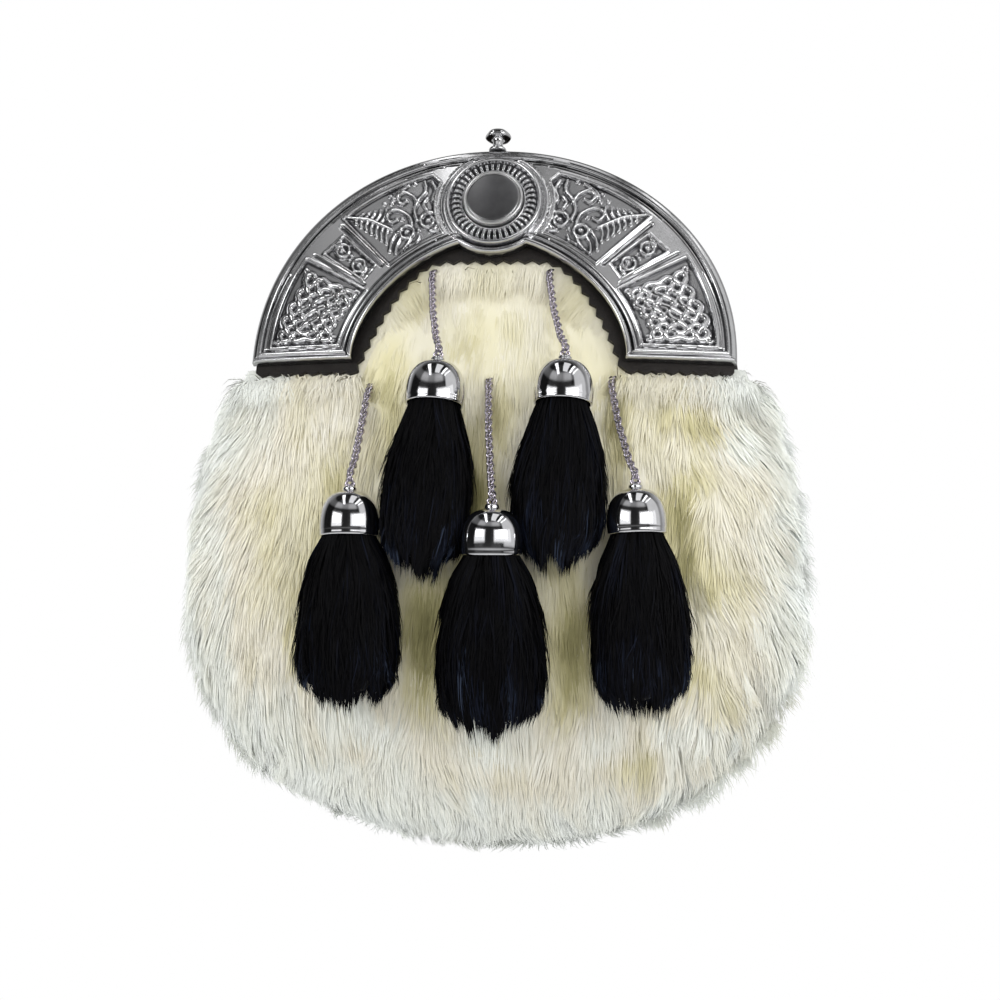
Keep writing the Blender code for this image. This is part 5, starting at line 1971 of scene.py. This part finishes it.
def area(name, azimuth, elevation, distance, wide, tall, power, colour=(1, 1, 1), spread=180):
    """A soft light that faces the middle of the object."""
    a, e = math.radians(azimuth), math.radians(elevation)
    aim = Vector((0.0, -0.04, -0.07))
    way = Vector((math.sin(a) * math.cos(e), -math.cos(a) * math.cos(e), math.sin(e)))
    data = bpy.data.lights.new(name, "AREA")
    data.shape = "RECTANGLE"
    data.size, data.size_y = wide, tall
    data.energy = power
    data.color = colour
    data.spread = math.radians(spread)
    made = bpy.data.objects.new(name, data)
    bpy.context.scene.collection.objects.link(made)
    made.location = aim + way * distance
    made.rotation_mode = "QUATERNION"
    made.rotation_quaternion = (-way).to_track_quat("-Z", "Y")
    return made


def studio():
    scene = bpy.context.scene
    scene.view_settings.view_transform = "Standard"
    world = bpy.data.worlds.new("studio")
    scene.world = world
    world.use_nodes = True
    tree = world.node_tree
    tree.nodes.clear()
    out = tree.nodes.new("ShaderNodeOutputWorld")
    plain = node(tree, "Background", Color=(1, 1, 1, 1), Strength=1.0)
    room = node(tree, "Background", Strength=1.0)
    soft = node(tree, "Background", Color=(0.78, 0.79, 0.80, 1), Strength=0.84)
    place = tree.nodes.new("ShaderNodeTexCoord")
    parts = tree.nodes.new("ShaderNodeSeparateXYZ")
    tree.links.new(place.outputs["Generated"], parts.inputs[0])
    # what polished metal sees: azimuth (0 in front, right is positive) and
    # elevation of each direction, both scaled to 0..1
    ahead = maths(tree, "MULTIPLY", parts.outputs["Y"], -1.0)
    turn = maths(tree, "ARCTAN2", parts.outputs["X"], ahead)
    turn = maths(tree, "MULTIPLY_ADD", turn, 0.5 / math.pi, 0.5)
    rise = maths(tree, "ARCSINE", parts.outputs["Z"])
    rise = maths(tree, "MULTIPLY_ADD", rise, 1.0 / math.pi, 0.5)

    def by_rise(*stops):
        return ramp(tree, [(0.5 + e / 180.0, c) for e, c in stops], rise)

    def by_turn(*stops):
        return ramp(tree, [(0.5 + a / 360.0, c) for a, c in stops], turn)

    wall = by_rise(
        (-90, 0.85), (-40, 0.80), (-24, 0.55), (-9, 0.08), (5, 0.04), (32, 0.03),
        (36, 0.40), (43, 0.50), (50, 0.42), (55, 0.05), (80, 0.03), (90, 0.02),
    )
    # the wall is lit only where the plate's two halves look
    sides = by_turn(
        (-180, 0.5), (-80, 0.22), (-64, 0.22), (-56, 0.85), (-30, 0.85), (-20, 0.52), (0, 0.46),
        (12, 0.86), (38, 0.95), (46, 0.3), (95, 0.3), (180, 0.5),
    )
    ground = by_rise((-90, 1.0), (-12, 1.0), (-4, 0.0), (90, 0.0))
    sides = mixed(tree, "MIX", ground, sides, (1.0, 1.0, 1.0))
    wall = mixed(tree, "MULTIPLY", 1.0, wall, sides)
    boxes = by_turn(
        (-180, 0.0), (-64, 0.0), (-60, 1.0), (-22, 1.0), (-18, 0.0), (13, 0.0), (17, 1.0),
        (84, 1.0), (89, 0.0), (180, 0.0),
    )
    low = by_rise((-90, 0.0), (0, 0.0), (4, 1.0), (22, 1.0), (25, 0.0), (90, 0.0))
    boxes = mixed(tree, "MULTIPLY", 1.0, boxes, low)
    front = mixed(tree, "ADD", 1.0, wall, boxes)
    # a tall window at the right
    window = by_turn((-180, 0.0), (50, 0.0), (56, 0.62), (100, 0.62), (112, 0.0), (180, 0.0))
    window_rise = by_rise((-90, 0.0), (-8, 0.0), (0, 1.0), (50, 1.0), (60, 0.0), (90, 0.0))
    window = mixed(tree, "MULTIPLY", 1.0, window, window_rise)
    front = mixed(tree, "LIGHTEN", 1.0, front, window)
    behind = by_rise(
        (-90, 0.85), (-20, 0.60), (0, 0.40), (20, 0.55), (40, 0.34), (60, 0.16), (90, 0.05)
    )
    back = node(tree, "MapRange")
    back.inputs["From Min"].default_value = 0.15
    back.inputs["From Max"].default_value = 0.55
    tree.links.new(parts.outputs["Y"], back.inputs["Value"])
    sky = mixed(tree, "MIX", back.outputs["Result"], front, behind)
    tree.links.new(sky, room.inputs["Color"])
    room.inputs["Strength"].default_value = 1.15
    rays = tree.nodes.new("ShaderNodeLightPath")
    glossy = tree.nodes.new("ShaderNodeMixShader")
    tree.links.new(rays.outputs["Is Glossy Ray"], glossy.inputs[0])
    tree.links.new(soft.outputs[0], glossy.inputs[1])
    tree.links.new(room.outputs[0], glossy.inputs[2])
    mix = tree.nodes.new("ShaderNodeMixShader")
    tree.links.new(rays.outputs["Is Camera Ray"], mix.inputs[0])
    tree.links.new(glossy.outputs[0], mix.inputs[1])
    tree.links.new(plain.outputs[0], mix.inputs[2])
    tree.links.new(mix.outputs[0], out.inputs["Surface"])

    # large soft lights all round, which polished metal doesn't mirror
    for row in (
        ("key", -20, 36, 1.2, 0.7, 0.5, 0.8),
        ("fill", 30, 10, 1.2, 0.8, 0.6, 0.9),
        ("low", 4, -34, 1.2, 0.8, 0.4, 1.8),
        ("left", -84, 14, 1.2, 0.6, 0.6, 3.4),
        ("right", 88, 14, 1.2, 0.6, 0.6, 3.4),
        ("back", 170, 26, 1.2, 0.8, 0.5, 3.6),
    ):
        area(*row).visible_glossy = False
    # two soft boxes and a row of strips overhead, which give the metal its
    # glints
    area("left_box", -41, 15, 1.2, 0.62, 0.22, 3.0)
    area("right_box", 44, 14, 1.2, 0.95, 0.30, 4.0)
    for k, (x, y, wide, long, power) in enumerate(
        (
            (-0.34, -0.45, 0.16, 1.15, 1.3),
            (0.20, -0.35, 0.34, 0.90, 0.9),
            (0.62, -0.35, 0.14, 0.90, 0.8),
            (0.92, -0.35, 0.07, 0.90, 0.4),
        )
    ):
        strip = area("strip_%d" % k, 0, 60, 1.2, wide, long, power)
        strip.location = (x, y, 1.05)
        strip.rotation_quaternion = (1.0, 0.0, 0.0, 0.0)

    # plain pale floor far below
    me = bpy.data.meshes.new("floor")
    steps = 64
    ring = [
        (1.6 * math.cos(2 * math.pi * k / steps), 1.6 * math.sin(2 * math.pi * k / steps), 0.0)
        for k in range(steps)
    ]
    me.from_pydata(ring, [], [tuple(range(steps))])
    floor = bpy.data.objects.new("floor", me)
    floor.location = (0.0, 0.0, -1.25)
    bpy.context.scene.collection.objects.link(floor)
    made, tree, shader = material("floor")
    shader.inputs["Base Color"].default_value = (0.86, 0.86, 0.86, 1.0)
    shader.inputs["Roughness"].default_value = 0.9
    me.materials.append(made)


# ---------------------------------------------------------------- assembly

camera()
studio()
make_cantle()
make_ring()
make_boss()
make_knob()
for index, tassel in enumerate(TASSELS):
    make_bell(tassel)
    make_chain(tassel[0], 60 + index)
    make_tassel(tassel, 200 + index)
make_fur_skin()
make_white_fur()
make_fringe()
make_bag()
make_loop_stitches()
paint_node("cantle_backing", LEATHER)
paint_node("belt_loop_left", LEATHER)
paint_node("belt_loop_right", LEATHER)

total = sum(
    sum(len(f.vertices) - 2 for f in o.data.polygons)
    for o in bpy.context.scene.objects
    if o.type == "MESH" and not o.hide_render
)
print("triangles", total)
bpy.context.view_layer.update()
